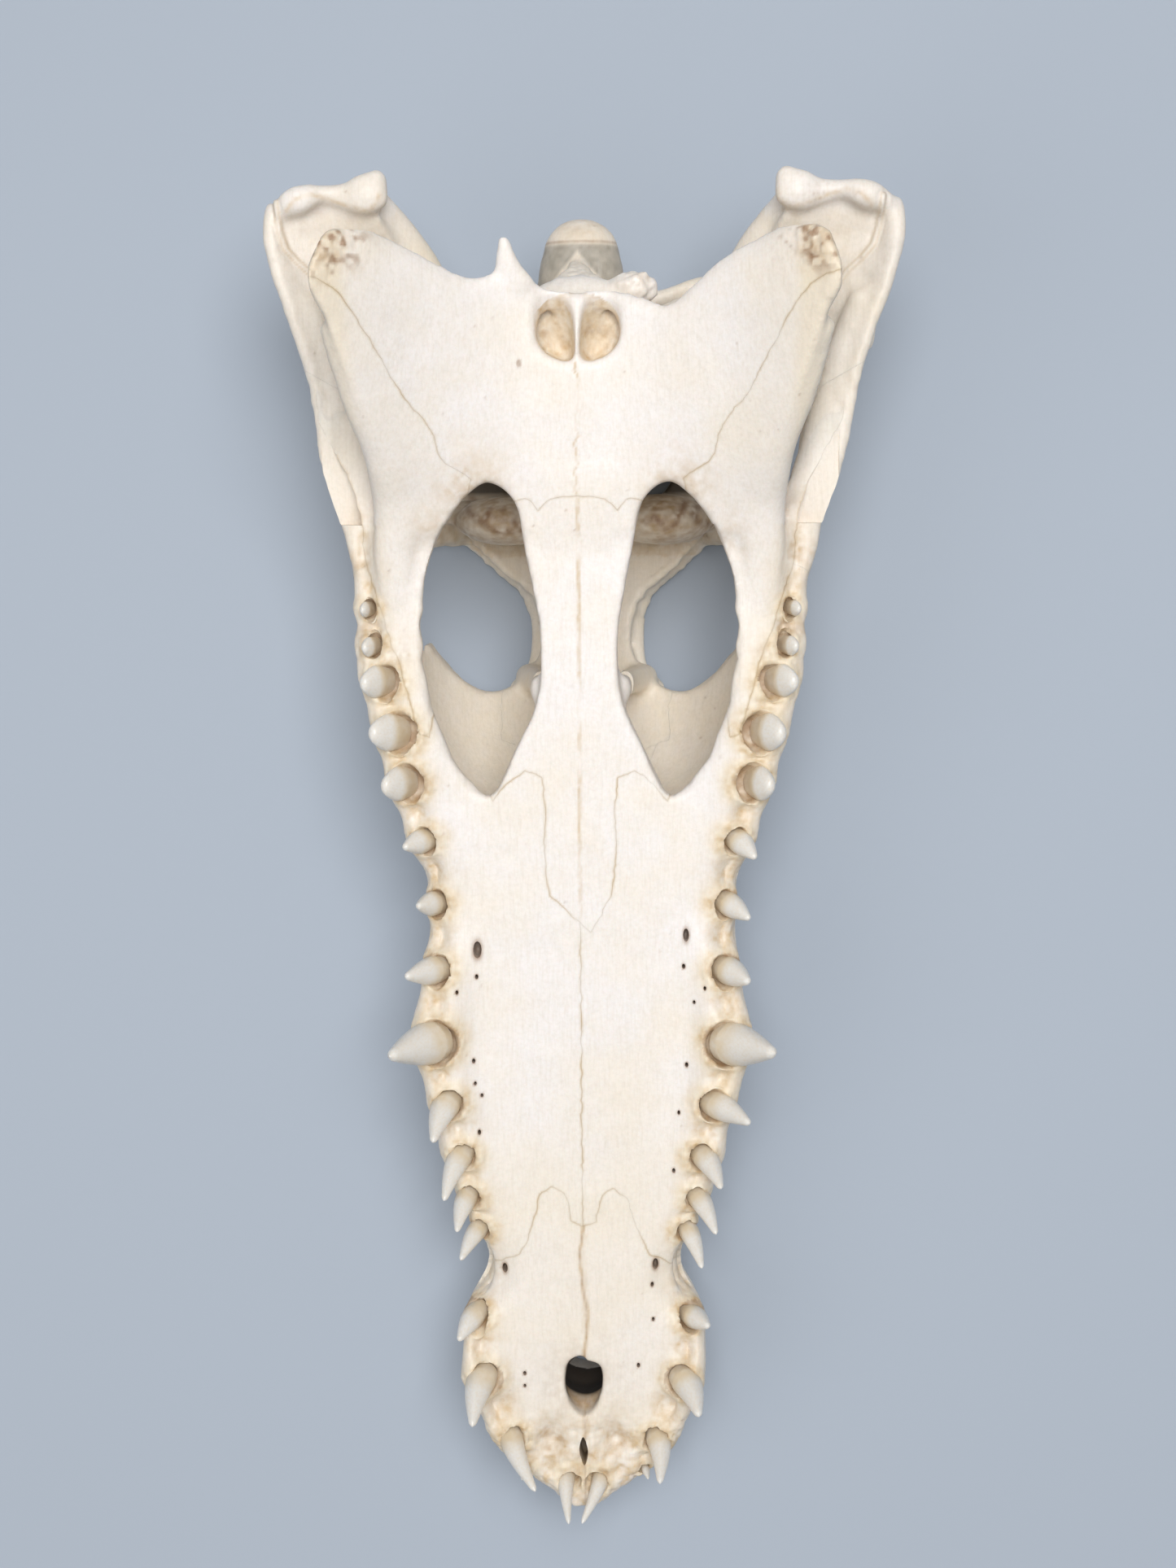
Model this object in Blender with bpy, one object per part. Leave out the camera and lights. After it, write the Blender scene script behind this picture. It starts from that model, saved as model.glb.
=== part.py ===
"""A crocodile's upper skull with its teeth, without the lower jaw, lying on its roof with the palate up.

The shapes are worked out in millimetres in the skull's own frame and laid down in metres, +Z up, at the end.
In the skull's frame X runs across, Y runs back from the tip of the snout, and Z is zero on the palate and
grows downwards in life, so that the roof of the skull has negative heights.
"""

import math

import bmesh
import bpy
import numpy as np
from mathutils import Matrix

COLOURS = {"bone": (0.80, 0.76, 0.70, 1), "cream": (0.82, 0.74, 0.62, 1)}
CREAM_BONES = ("ecto", "jugal", "quadrate", "braincase")
ROUGHNESS = 0.5

MM = 0.001
GAP = 0.3
VOXEL = 1.5
BONE_TRIANGLES = 8330
FLAT_DEPTH = 0.5
FRONT_REST_END = 120.0
REAR_REST_START = 200.0

# Heights and half widths of the snout and face, each as (distance behind the tip, value).
JAW_HALF_WIDTH = [
    (0, 6), (3, 9.5), (8, 16), (13, 23), (19, 27.2), (26, 30.2), (34, 33.8), (42, 36.2), (52, 37.2),
    (60, 36.8), (67, 34.0), (73, 30.6), (78, 29.9), (85, 31.8), (92, 34.8), (100, 38.2), (113, 42.4),
    (125, 44.8), (138, 48.2), (148, 50.2), (158, 49.1), (170, 46.8), (182, 46.0), (193, 46.0), (202, 49.0),
    (212, 52.3), (222, 55.6), (231, 58.0), (240, 60.6), (250, 63.0), (262, 65.2), (278, 66.0), (292, 67.6),
    (304, 70.0),
]
ROOF_HEIGHT = [
    (0, -13), (5, -20), (12, -29), (20, -36), (28, -39), (40, -40), (52, -39), (65, -36), (85, -34),
    (110, -34.5), (140, -38), (180, -45), (215, -54), (240, -63), (262, -72), (275, -77), (290, -81.5),
    (304, -83.5),
]
GUM_HEIGHT = [
    (0, -5), (12, -2), (30, 3), (43, 5), (58, 2), (72, -4), (85, -1), (110, 2), (130, 4.5), (147, 6.5),
    (165, 4), (190, -0.5), (210, 1.5), (230, 3), (250, 2), (268, -1), (284, -4), (304, -9.5),
]
ABOVE_ROOF = -150.0
BELOW_PALATE = 80.0
BESIDE = 120.0
# The right side of the real skull is a little wider at the back.
WIDER_RIGHT = 0.014
WIDER_START = 290.0
WIDER_RUN = 50.0
FACE_SQUARENESS = [(0, 2.6), (60, 2.5), (120, 2.25), (240, 2.0), (304, 2.0)]
FACE_BACK = 300.0
# How the face's back end rounds off, as (distance behind the tip, size).
FACE_ROUNDING = [(302, 0.985), (304, 0.95), (305.5, 0.9), (306.5, 0.84)]
FACE_MIDDLE = np.array([0, 0, -42.0])
GUM_EDGE = 4.0
WALL = 7.5
PALATE_THICKNESS = 5.5
ROOF_THICKNESS = 6.0

# Outlines seen on the palate, on the animal's right side, as (across, back).
FENESTRA = [
    (25, 312), (31, 309), (38, 300.5), (43, 289), (45.5, 276), (45.7, 263), (43.8, 250), (40, 238),
    (34, 227), (27, 221), (23, 225.5), (18.5, 235.5), (13.5, 245.5), (11.3, 256), (11.2, 268), (13, 280),
    (15.5, 293), (18, 306),
]
ORBIT = [
    (14, 264), (16, 255), (22, 248.5), (30, 246.5), (37, 249.5), (43.5, 256.5), (49, 264.5),
    (53, 274), (54, 286),
    (49, 297), (41, 298.5), (33.5, 290), (25, 281.5), (17.5, 275),
]
ORBIT_SIDE = [
    (256, -47), (260, -38), (268, -32), (279, -30.5), (288, -33), (291, -42), (291, -70), (288, -100),
    (262, -100),
    (256, -75), (254.5, -60),
]
ORBIT_SIDE_INNER = 49.0
PALATINE_HALF_WIDTH = [
    (205, 26), (221, 25), (228, 22), (236, 18.2), (246, 13.4), (256, 11.2), (268, 11.1), (280, 12.9),
    (293, 15.4), (305, 17.8), (314, 22),
]

# The wing plates of the palate's back, each as (distance from the middle, value).
PLATE_BACK = [
    (0, 365), (8, 366), (14, 369), (20, 371.5), (26, 369.5), (31, 369.5), (37, 372), (44, 375.5), (50, 378),
    (57, 380.5), (62, 380.5), (66.5, 378), (70, 370),
]
# A piece is broken from the plate's back edge on the right, as (middle, reach, depth).
BROKEN_EDGE = (22.5, 9.5, 9.0)
PLATE_FRONT = [(0, 294), (50, 294), (54, 310), (57, 322), (60.5, 333), (64, 345), (66.5, 355), (70, 362)]
PLATE_MIDDLE = [(294, -0.3), (306, 1.2), (318, 2.7), (345, 6.0), (380, 8.0)]
PLATE_RISE = [(294, 0.3), (301, 3.0), (311, 9.5), (320, 15.5), (335, 22), (350, 27), (365, 31), (380, 31.5)]
PLATE_THICKNESS = [(0, 6), (20, 5), (40, 5), (58, 8), (70, 9)]

TABLE_HALF_WIDTH = [
    (282, 16), (287, 25), (291, 36), (295, 42.5), (302, 44.5), (318, 44.5), (335, 46.5), (350, 50.5),
    (357, 50), (360, 48),
]
TABLE_HEIGHT = -79.5
TABLE_THICKNESS = [(282, 5), (300, 9), (354, 9), (360, 5)]
TABLE_SLOPE = 0.02
TABLE_NOTCH = 5.0
TEMPORAL_HOLE = (18.0, 318.0, 10.0, 13.0)

# Which way is up when a bar is swept: along the skull's height, or along its length for upright bars.
FLAT = (0, 0, 1)
UPRIGHT = (0, 1, 0)

# Plates of one side, each as (points along one edge, points along the other, thickness along it).
SIDE_PLATES = [
    # The cheek bar, with the bone in front of the jaw joint.
    ([(57, 258, -7), (62.5, 280, -9), (67.6, 297, -10), (73.6, 312, -10.5), (76.6, 325, -12), (79, 340, -13),
      (83.4, 355, -13), (89, 372, -13), (91, 383, -13), (89.5, 392, -15)],
     [(58, 258, -27), (60, 280, -30), (61, 297, -31), (63, 312, -30), (65, 325, -31), (65.5, 340, -35),
      (68, 355, -40), (75, 372, -41), (81, 383, -38), (84, 393, -32)],
     [(0, 6), (0.5, 6.5), (1, 8)]),
    # The quadrate, sloping from the braincase out to the jaw joint.
    ([(18, 318, -58), (32, 322, -60), (46, 328, -56), (60, 335, -45), (72, 342, -34), (84, 350, -22)],
     [(22, 360, -56), (34, 369, -50), (46, 379, -42), (53, 391, -32), (66, 395.6, -24.5), (87, 393, -21)],
     [(0, 12), (0.4, 9), (0.8, 9), (1, 9)]),
    # The wall inside the ear notch.
    ([(41, 316, -76), (42, 338, -76), (46, 358, -75)], [(30, 322, -52), (37, 344, -50), (43, 366, -49)],
     [(0, 5), (1, 6)]),
    # The back wall beside the opening for the spinal cord.
    ([(0, 356, -79), (22, 357.5, -79), (40, 360, -77), (54, 367, -69)],
     [(0, 366, -44), (20, 367, -46), (38, 373, -51.5), (55, 374, -61)],
     [(0, 9), (0.5, 7), (1, 4)]),
    # The wall from the palate's back plate to the quadrate.
    ([(6, 318, -4), (18, 322, -20), (32, 330, -42)], [(8, 356, -4), (20, 362, -22), (38, 370, -42)],
     [(0, 8), (1, 7)]),
]
# Bars of one side, each as (path, half width, half height, which way is up).
SIDE_BARS = [
    # Behind the orbit.
    ([(65, 296, -22), (61, 295, -36), (54, 294.5, -54), (46, 296, -70), (42, 297, -80)],
     [(0, 3), (0.25, 3.6), (0.6, 3.8), (1, 7)], [(0, 9), (0.25, 5), (0.6, 4), (1, 6)], UPRIGHT),
    # From the cheek up the front of the wing.
    ([(52, 272, -5), (53, 290, -3.5), (51.5, 306, 0), (54, 320, 9), (60.5, 337, 20), (65.5, 354, 29.5)],
     [(0, 5), (0.4, 7.4), (0.6, 6), (1, 4)], [(0, 3), (0.4, 6), (0.7, 5), (1, 4)], FLAT),
    # Into the jaw joint.
    ([(42, 358, -46), (56, 376, -35), (69, 387, -26)], [(0, 8), (0.7, 13), (1, 15)], [(0, 5), (1, 6)], FLAT),
    # Across the jaw joint, as a roller that is narrow in its middle.
    ([(86, 390.6, -16), (81, 392.6, -14.5), (74.5, 394.4, -16.5), (67.5, 393.6, -17), (61, 394.2, -15),
      (57.6, 395, -15.5)],
     [(0, 3.4), (0.18, 4.3), (0.42, 2.6), (0.62, 3.6), (0.85, 5.4), (1, 4.4)],
     [(0, 4.5), (0.2, 5.6), (0.45, 4.6), (0.85, 6.4), (1, 5.2)], FLAT),
    # The rounded lower face of the cheek bar.
    ([(58.5, 280, -12), (62, 300, -14), (67.5, 314, -16.5), (71, 330, -18.5), (75.5, 348, -20),
      (81.5, 364, -20)],
     [(0, 5), (0.25, 6.8), (0.5, 5.8), (1, 4.5)], [(0, 5), (0.25, 6), (1, 5)], FLAT),
    # The pillar in front of the orbit.
    ([(12, 252, -8), (13, 251, -35), (18, 250, -64)], [(0, 3), (0.5, 2.6), (1, 5)], [(0, 4),
    (1, 4.5)], UPRIGHT),
    # The raised inner rim of the orbit.
    ([(23, 246, -66), (17, 252, -71), (15.5, 264, -74.5), (18, 275, -76.8), (27, 284, -78.8), (36, 292, -80)],
     [(0, 2.5), (1, 3)], [(0, 2.5), (1, 3)], FLAT),
]
# Rounded forms of one side, as (middle, radii): the peak of the jaw joint, the corner of the table and the
# wall behind the orbit.
SIDE_KNOBS = [
    ((58.6, 397.4, -14.5), (3.6, 4.0, 5.4)),
    ((47, 354, -76), (6, 9, 5)),
    ((24, 300, -56), (17, 8, 17)),
]
# The bridge from the cheek to the wing, which reaches further back on the left.
BRIDGE_START = [(56.5, 266, -8), (59, 282, -8), (61.5, 294, -9)]
BRIDGE_END_LEFT = (68, 330, -16)
BRIDGE_END_RIGHT = (66, 306, -12)
BRIDGE_HALF_WIDTH = [(0, 4), (0.35, 6.2), (0.7, 8), (1, 5)]
BRIDGE_HALF_HEIGHT = [(0, 4), (1, 5)]

CASE_HALF_WIDTH = [(296, 5), (305, 7), (320, 9), (340, 15), (358, 20), (372, 14)]
CASE_UNDERSIDE = [(296, -64), (310, -50), (325, -38), (345, -28), (362, -28), (372, -34)]
CASE_TOP = -78.0
# Bars in the middle: behind the neck's knob, the plate under it and the column up to the palate.
MIDDLE_BARS = [
    ([(0, 356, -44), (0, 378, -42)], [(0, 17), (0.5, 13), (1, 11)], [(0, 13), (1, 7.5)], FLAT),
    ([(-1, 375.5, -35), (-0.5, 371.5, -24), (0, 366, -12), (0, 361, 0)],
     [(0, 2.5), (0.3, 8), (0.6, 13), (0.85, 10), (1, 8)], [(0, 3), (0.6, 3.5), (1, 3)], (0, -1, 0)),
    ([(0, 338, -34), (0, 347, -16), (0, 350, 2)], [(0, 15), (0.5, 9), (1, 9)], [(0, 15),
    (1, 10)], (0, -1, 0)),
]
NECK_KNOBS = [((-0.3, 371.5, -42), (13.2, 16.5, 11)), ((-0.2, 378.6, -42), (11.6, 11.3, 9.8))]
CORD_OPENING = ((0, 368, -58.5), (7.5, 14, 5.8))
BACK_HOLLOW = ((21, 374, -66), (11, 9, 8))
# The opening at the back of the palate, a scoop on each side of a thin wall, as (distance behind the tip, value).
CHOANA_MIDDLE = 0.3
CHOANA_HALF_WIDTH = [(345.7, 4), (347, 8), (349.5, 10.8), (353, 12.2), (358, 12.2), (361, 10.8), (364, 7)]
CHOANA_DEPTH = [(345.7, 8), (348, 9.5), (352, 9.5), (356, 7.5), (360, 4), (362.5, 1.5), (364, 0)]
CHOANA_WALL = 0.55
CHOANA_BACKING = ((0.5, 356, -7), (18.5, 14.5, 8))
# The rough stump of broken bone beside the neck's knob, as (middle, radii).
BROKEN_LUMP = ((15.5, 366.0, -5.0), (7.0, 5.2, 5.0))
SPUR = [(-17.5, 366, 7), (-19.2, 373, 9.5), (-20, 379, 11)]
SPUR_HALF_WIDTH = [(0, 6.5), (0.5, 3.4), (1, 1.8)]
SPUR_HALF_HEIGHT = [(0, 3), (1, 1.6)]

# The outline of the opening in the front of the palate, and the way through to the nostrils as
# (height, half width, front, back).
INCISIVE = [
    (-0.1, 53), (-1, 50), (-4.4, 48), (-5.5, 44), (-5.4, 39), (-4.3, 35), (-2.4, 31.8), (0, 30.2), (2.4, 31.6),
    (4.3, 35), (5.6, 40), (5.7, 44.5), (4.4, 47), (1, 48),
]
NOSTRIL = [
    (-3, 5.6, 30.5, 47.5), (-8, 7, 29, 48), (-18, 9.5, 25, 50), (-26, 10.5, 25, 50), (-34, 11, 31, 50),
    (-50, 12, 32, 51),
]
AIRWAY = [(0, 42, -21), (0, 60, -20), (0, 80, -18)]
AIRWAY_HALF_SIZE = [(0, 8), (1, 6)]
NOSTRIL_RIM = (41.5, -38.5)
NOSTRIL_RIM_REACH = (13.5, 12.0)
NOSTRIL_RIM_SIZE = (3.6, 3.4)

# Teeth from the front back: distance back, distance from the middle, width, crown, and how far the tip
# leans outwards and forwards on the left and on the right.
TEETH = [
    (10.5, 4.6, 5.6, 14.0, (-0.2, 9.4), (-5.0, 9.2)),
    (13.0, 18.0, 2.6, 4.0, (1.0, 2.7), (1.5, 1.9)),
    (23.0, 21.7, 7.4, 15.0, (-7.6, 9.2), (1.4, 6.3)),
    (43.2, 30.0, 9.0, 15.0, (2.3, 7.3), (4.6, 3.4)),
    (61.9, 32.4, 7.0, 9.0, (4.6, 3.9), (5.2, -1.2)),
    (88.8, 31.0, 6.0, 11.0, (4.9, 5.1), (4.6, 7.1)),
    (99.5, 34.0, 6.6, 12.0, (2.7, 6.2), (5.7, 6.4)),
    (112.7, 35.6, 7.4, 14.0, (4.4, 8.6), (5.4, 4.4)),
    (129.2, 39.4, 8.4, 14.0, (3.3, 6.7), (9.7, 0.6)),
    (148.5, 43.6, 13.0, 19.0, (10.1, -1.7), (12.1, -3.0)),
    (169.7, 42.6, 8.4, 11.0, (7.6, -1.0), (6.2, 0.3)),
    (189.0, 42.8, 7.2, 9.0, (4.2, -1.4), (6.3, 2.2)),
    (208.2, 45.6, 7.2, 8.0, (5.0, 0.4), (5.1, 3.4)),
    (225.5, 51.3, 9.8, 7.0, (4.9, -0.2), (3.9, -0.4)),
    (240.4, 53.6, 10.6, 7.0, (6.0, -0.8), (4.8, -0.5)),
    (255.2, 57.4, 9.2, 6.5, (4.6, 0.0), (4.7, -0.3)),
    (265.1, 60.0, 5.6, 4.5, (1.8, -0.1), (2.5, -0.1)),
    (275.8, 61.3, 4.4, 4.0, (1.1, -0.1), (2.0, 0.0)),
]
ROOT_DEPTH = 5.0
ROOT_SLANT = np.array([0.4, 0.4, 1.0])
LAST_FRONT_TOOTH = 70.0

# Sutures between the bones, as (across, back) or (back, height).
FRONT_SUTURE = [
    (60, 77), (29, 77), (19, 84), (13.5, 98), (9.5, 103), (5, 98), (2, 91), (-2, 91), (-5, 98), (-9.5, 103),
    (-13.5, 98), (-19, 84), (-29, 77), (-60, 77), (-60, -20), (60, -20),
]
PALATINE_SUTURE = [
    (3, 181), (9, 192), (10.5, 205), (10, 217), (11, 227), (16, 229), (21.5, 225), (25.5, 220), (29, 230),
    (30, 292), (20, 303), (13, 306), (9, 306), (0, 305),
]
WING_SUTURE = [
    (30, 313), (33.5, 315.5), (37, 317.5), (38.7, 320), (39.6, 325), (42.4, 330), (46.7, 335), (49, 339),
    (51, 343), (53.2, 347.5), (56, 352.6), (57.6, 356), (60.2, 360), (63, 363.6), (67, 366), (76, 368),
    (76, 330), (66, 312), (63, 303), (62, 290), (58.4, 279), (55.8, 270), (51.6, 260), (50.4, 254),
    (48.2, 247), (46.2, 240), (43.5, 239), (42, 250), (40, 270), (37, 290),
]
WING_REGION = [(75, 379), (75, 300), (34, 300), (-34, 300), (-75, 300), (-75, 379)]
NASAL_HALF_WIDTH = [(50, 3), (62, 6.5), (90, 8.5), (130, 10), (180, 10.5), (215, 8.5), (229, 4)]
NASAL_THICKNESS = 8.0
FRONTAL_REGION = [
    (-26, 232), (0, 222), (26, 232), (27, 262), (42, 291.5), (-42, 291.5), (-27, 262),
]
LACRIMAL_REGION = [
    (24, 214), (34, 206), (52, 214), (66, 236), (70, 262), (24, 262), (23, 232), (18, 222),
]
JUGAL_REGION = [
    (384, 14), (384, -47), (308, -47), (306, -71.5), (282, -71.5), (280, -47), (262, -38), (240, -34),
    (222, -32),
    (230, -21), (262, -14), (297, -9), (306, 14),
]
JUGAL_INNER = 42.0
JUGAL_LEAN = 0.5
TABLE_REGION = [(70, 270), (70, 390)]
TABLE_UNDERSIDE = -72.0
FACE_END = 310.0
PALATINE_TOP = -17.0
WING_TOP = -12.0
FRONTAL_DEPTH = -30.0
LACRIMAL_DEPTH = -34.0
CASE_REGION = [(56, 286), (56, 340), (66, 345), (66, 420)]
QUADRATE_REGION = [(0, 306), (0, 412), (118, 412), (118, 353), (84, 347), (70, 339), (64, 326), (60, 306)]
QUADRATE_INNER = [(-58, 54), (-42, 27), (20, 25)]


def through(knots, at):
    """The value at a place, on a smooth curve through the knots that doesn't swing past them."""
    places, values = np.array(knots, float).T
    steps = np.diff(places)
    slopes = np.diff(values) / steps
    product = slopes[:-1] * slopes[1:]
    total = slopes[:-1] + slopes[1:]
    tangents = np.zeros(len(values))
    tangents[0] = slopes[0]
    tangents[-1] = slopes[-1]
    tangents[1:-1] = np.where(product > 0, 2 * product / np.where(total == 0, 1, total), 0)
    at = np.clip(at, places[0], places[-1])
    i = np.clip(np.searchsorted(places, at) - 1, 0, len(steps) - 1)
    t = (at - places[i]) / steps[i]
    rise = values[i + 1] * (3 - 2 * t) * t**2 + values[i] * (1 - (3 - 2 * t) * t**2)
    return rise + steps[i] * ((t**3 - 2 * t**2 + t) * tangents[i] + (t**3 - t**2) * tangents[i + 1])


def path_through(points, count):
    """Evenly counted points on a smooth open path through the given ones."""
    points = np.array(points, float)
    lengths = np.linalg.norm(np.diff(points, axis=0), axis=1)
    along = np.concatenate([[0], np.cumsum(lengths)]) / lengths.sum()
    at = np.linspace(0, 1, count)
    return np.stack([through(np.stack([along, points[:, k]], 1), at) for k in range(3)], 1)


def closed_curve(points, per_side=4):
    """A smooth closed outline through the points."""
    p = np.array(points, float)
    before, after, beyond = np.roll(p, 1, 0), np.roll(p, -1, 0), np.roll(p, -2, 0)
    found = []
    for k in range(per_side):
        t = k / per_side
        found.append(
            0.5 * (2 * p + (after - before) * t + (2 * before - 5 * p + 4 * after - beyond) * t**2
                   + (3 * p - before - 3 * after + beyond) * t**3)
        )
    return np.stack(found, 1).reshape(-1, p.shape[1])


def mirrored(points):
    return [(-x, y) for x, y in reversed(points)]


def mesh_object(name, points, faces):
    mesh = bpy.data.meshes.new(name)
    mesh.from_pydata([tuple(map(float, p)) for p in points], [], faces)
    obj = bpy.data.objects.new(name, mesh)
    bpy.context.scene.collection.objects.link(obj)
    bm = bmesh.new()
    bm.from_mesh(mesh)
    bmesh.ops.recalc_face_normals(bm, faces=bm.faces)
    if bm.calc_volume(signed=True) < 0:
        bmesh.ops.reverse_faces(bm, faces=bm.faces)
    bm.to_mesh(mesh)
    bm.free()
    return obj


def loft(name, rings):
    """A closed body skinned over rings of equal counts, with flat ends."""
    rings = np.array(rings, float)
    count, around = rings.shape[:2]
    faces = []
    for i in range(count - 1):
        for j in range(around):
            k = (j + 1) % around
            faces.append((i * around + j, i * around + k, (i + 1) * around + k, (i + 1) * around + j))
    faces.append(tuple(range(around))[::-1])
    faces.append(tuple((count - 1) * around + j for j in range(around)))
    return mesh_object(name, rings.reshape(-1, 3), faces)


def prism(name, outline, low, high, grow=0.0):
    """An upright body over a flat outline, its sides and ends moved out by grow."""
    p = np.array(outline, float)
    if grow:
        p = moved_out(p, grow)
    rings = [np.column_stack([p, np.full(len(p), z)]) for z in (low - grow, high + grow)]
    return loft(name, rings)


def moved_out(p, by):
    """The outline with every side moved outwards, its corners held to a moderate reach."""
    area = np.sum(p[:, 0] * np.roll(p[:, 1], -1) - np.roll(p[:, 0], -1) * p[:, 1])
    ahead = np.roll(p, -1, 0) - p
    normal = np.stack([ahead[:, 1], -ahead[:, 0]], 1) / np.linalg.norm(ahead, axis=1)[:, None]
    if area < 0:
        normal = -normal
    corner = normal + np.roll(normal, 1, 0)
    reach = np.maximum(np.sum(corner * normal, axis=1), 0.5)
    return p + by * corner / reach[:, None]


def sweep(name, path, wide, high, up=FLAT, power=2.4, around=20, count=18):
    """A bar along a path. wide and high are its half sizes as (share of the length, value)."""
    centres = path_through(path, count)
    tangents = np.gradient(centres, axis=0)
    tangents /= np.linalg.norm(tangents, axis=1)[:, None]
    side = np.cross(np.array(up, float), tangents)
    side /= np.linalg.norm(side, axis=1)[:, None]
    over = np.cross(tangents, side)
    share = np.linspace(0, 1, count)
    w, h = through(wide, share), through(high, share)
    angle = np.linspace(0, 2 * math.pi, around, endpoint=False)
    c = np.sign(np.cos(angle)) * np.abs(np.cos(angle)) ** (2 / power)
    s = np.sign(np.sin(angle)) * np.abs(np.sin(angle)) ** (2 / power)

    def ring(i, shrink, shift):
        across = side[i] * (w[i] * shrink * c)[:, None]
        upright = over[i] * (h[i] * shrink * s)[:, None]
        return centres[i] + tangents[i] * shift + across + upright

    last = count - 1
    turns = [math.radians(turn) for turn in (30, 60, 80)]
    rings = [ring(0, math.cos(a), -0.6 * min(w[0], h[0]) * math.sin(a)) for a in reversed(turns)]
    rings += [ring(i, 1, 0) for i in range(count)]
    rings += [ring(last, math.cos(a), 0.6 * min(w[last], h[last]) * math.sin(a)) for a in turns]
    return loft(name, rings)


def sheet(name, edge_a, edge_b, thick, around=22, count=24, power=2.6):
    """A curved plate between two edges, each a list of points, with its thickness as (share, value)."""
    a, b = path_through(edge_a, count), path_through(edge_b, count)
    centres, halves = (a + b) / 2, (b - a) / 2
    tangents = np.gradient(centres, axis=0)
    normals = np.cross(halves, tangents)
    normals /= np.linalg.norm(normals, axis=1)[:, None]
    deep = through(thick, np.linspace(0, 1, count)) / 2
    angle = np.linspace(0, 2 * math.pi, around, endpoint=False)
    c = np.sign(np.cos(angle)) * np.abs(np.cos(angle)) ** (2 / power)
    s = np.sign(np.sin(angle)) * np.abs(np.sin(angle)) ** (2 / power)
    rings = [centres[i] + halves[i] * c[:, None] + normals[i] * (deep[i] * s)[:, None] for i in range(count)]
    return loft(name, rings)


def ball(name, centre, radii, around=20, rows=12):
    rings = []
    for turn in np.linspace(5, 175, rows):
        a = math.radians(turn)
        angle = np.linspace(0, 2 * math.pi, around, endpoint=False)
        rings.append(np.stack([
            centre[0] + radii[0] * math.sin(a) * np.cos(angle),
            centre[1] + radii[1] * math.sin(a) * np.sin(angle),
            np.full(around, centre[2] + radii[2] * math.cos(a)),
        ], 1))
    return loft(name, rings)


def settled(obj):
    """The object with its modifiers applied."""
    graph = bpy.context.evaluated_depsgraph_get()
    mesh = bpy.data.meshes.new_from_object(obj.evaluated_get(graph))
    old = obj.data
    obj.modifiers.clear()
    obj.data = mesh
    mesh.name = obj.name
    bpy.data.meshes.remove(old)
    return obj


def removed(objects):
    for obj in objects:
        mesh = obj.data
        bpy.data.objects.remove(obj)
        bpy.data.meshes.remove(mesh)


def fused(name, objects, voxel):
    """One body made of the objects, by joining them and skinning the whole again."""
    bm = bmesh.new()
    for obj in objects:
        bm.from_mesh(obj.data)
    mesh = bpy.data.meshes.new(name)
    bm.to_mesh(mesh)
    bm.free()
    removed(objects)
    made = bpy.data.objects.new(name, mesh)
    bpy.context.scene.collection.objects.link(made)
    remesh = made.modifiers.new("skin", "REMESH")
    remesh.mode = "VOXEL"
    remesh.voxel_size = voxel
    return settled(made)


def boolean(obj, others, operation):
    """The object joined with, cut by or kept inside the others, which are then removed."""
    group = bpy.data.collections.new("operands")
    for other in others:
        group.objects.link(other)
    step = obj.modifiers.new("cut", "BOOLEAN")
    step.operation = operation
    step.solver = "MANIFOLD"
    step.operand_type = "COLLECTION"
    step.collection = group
    bpy.context.view_layer.update()
    settled(obj)
    removed(others)
    bpy.data.collections.remove(group)
    return obj


def copied(obj, name):
    twin = bpy.data.objects.new(name, obj.data.copy())
    bpy.context.scene.collection.objects.link(twin)
    return twin


def largest_body(obj):
    """Keeps the object's largest closed surface and drops the rest."""
    bm = bmesh.new()
    bm.from_mesh(obj.data)
    bm.faces.ensure_lookup_table()
    seen, bodies = set(), []
    for face in bm.faces:
        if face in seen:
            continue
        seen.add(face)
        body, waiting = [], [face]
        while waiting:
            this = waiting.pop()
            body.append(this)
            for edge in this.edges:
                for other in edge.link_faces:
                    if other not in seen:
                        seen.add(other)
                        waiting.append(other)
        bodies.append(body)
    bodies.sort(key=lambda body: -sum(f.calc_area() for f in body))
    spare = [f for body in bodies[1:] for f in body]
    bmesh.ops.delete(bm, geom=spare, context="FACES")
    bm.to_mesh(obj.data)
    bm.free()
    return obj


def face_ring(y):
    """The outline across the snout and face: palate below, arched roof above."""
    half = through(JAW_HALF_WIDTH, y)
    gum = through(GUM_HEIGHT, y)
    roof = through(ROOF_HEIGHT, y)
    join = gum - GUM_EDGE
    angle = np.linspace(0, math.pi, 30)
    squareness = through(FACE_SQUARENESS, y)
    x = half * np.sign(np.cos(angle)) * np.abs(np.cos(angle)) ** (2 / squareness)
    z = join + (roof - join) * np.sin(angle) ** (2 / squareness)
    u = np.linspace(-1, 1, 24)[1:-1]
    u = np.sign(u) * np.abs(u) ** 0.7
    ramp = np.clip((np.abs(u) - 0.6) / 0.24, 0, 1)
    level = gum * ramp**2 * (3 - 2 * ramp)
    rounding = np.clip((np.abs(u) - 0.88) / 0.12, 0, 1)
    low = level - GUM_EDGE * (1 - np.sqrt(1 - 0.98 * rounding**2))
    xs = np.concatenate([x, u * half])
    zs = np.concatenate([z, low])
    return np.stack([xs, np.full(len(xs), y), zs], 1)


def face():
    stations = np.concatenate([[0.5, 2, 4, 7], np.arange(10, FACE_BACK, 3.0), [FACE_BACK]])
    rings = [face_ring(y) for y in stations]
    for back, size in FACE_ROUNDING:
        middle = FACE_MIDDLE + [0, back, 0]
        rings.append(middle + (face_ring(back) - middle) * size)
    return loft("face", rings)


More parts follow.
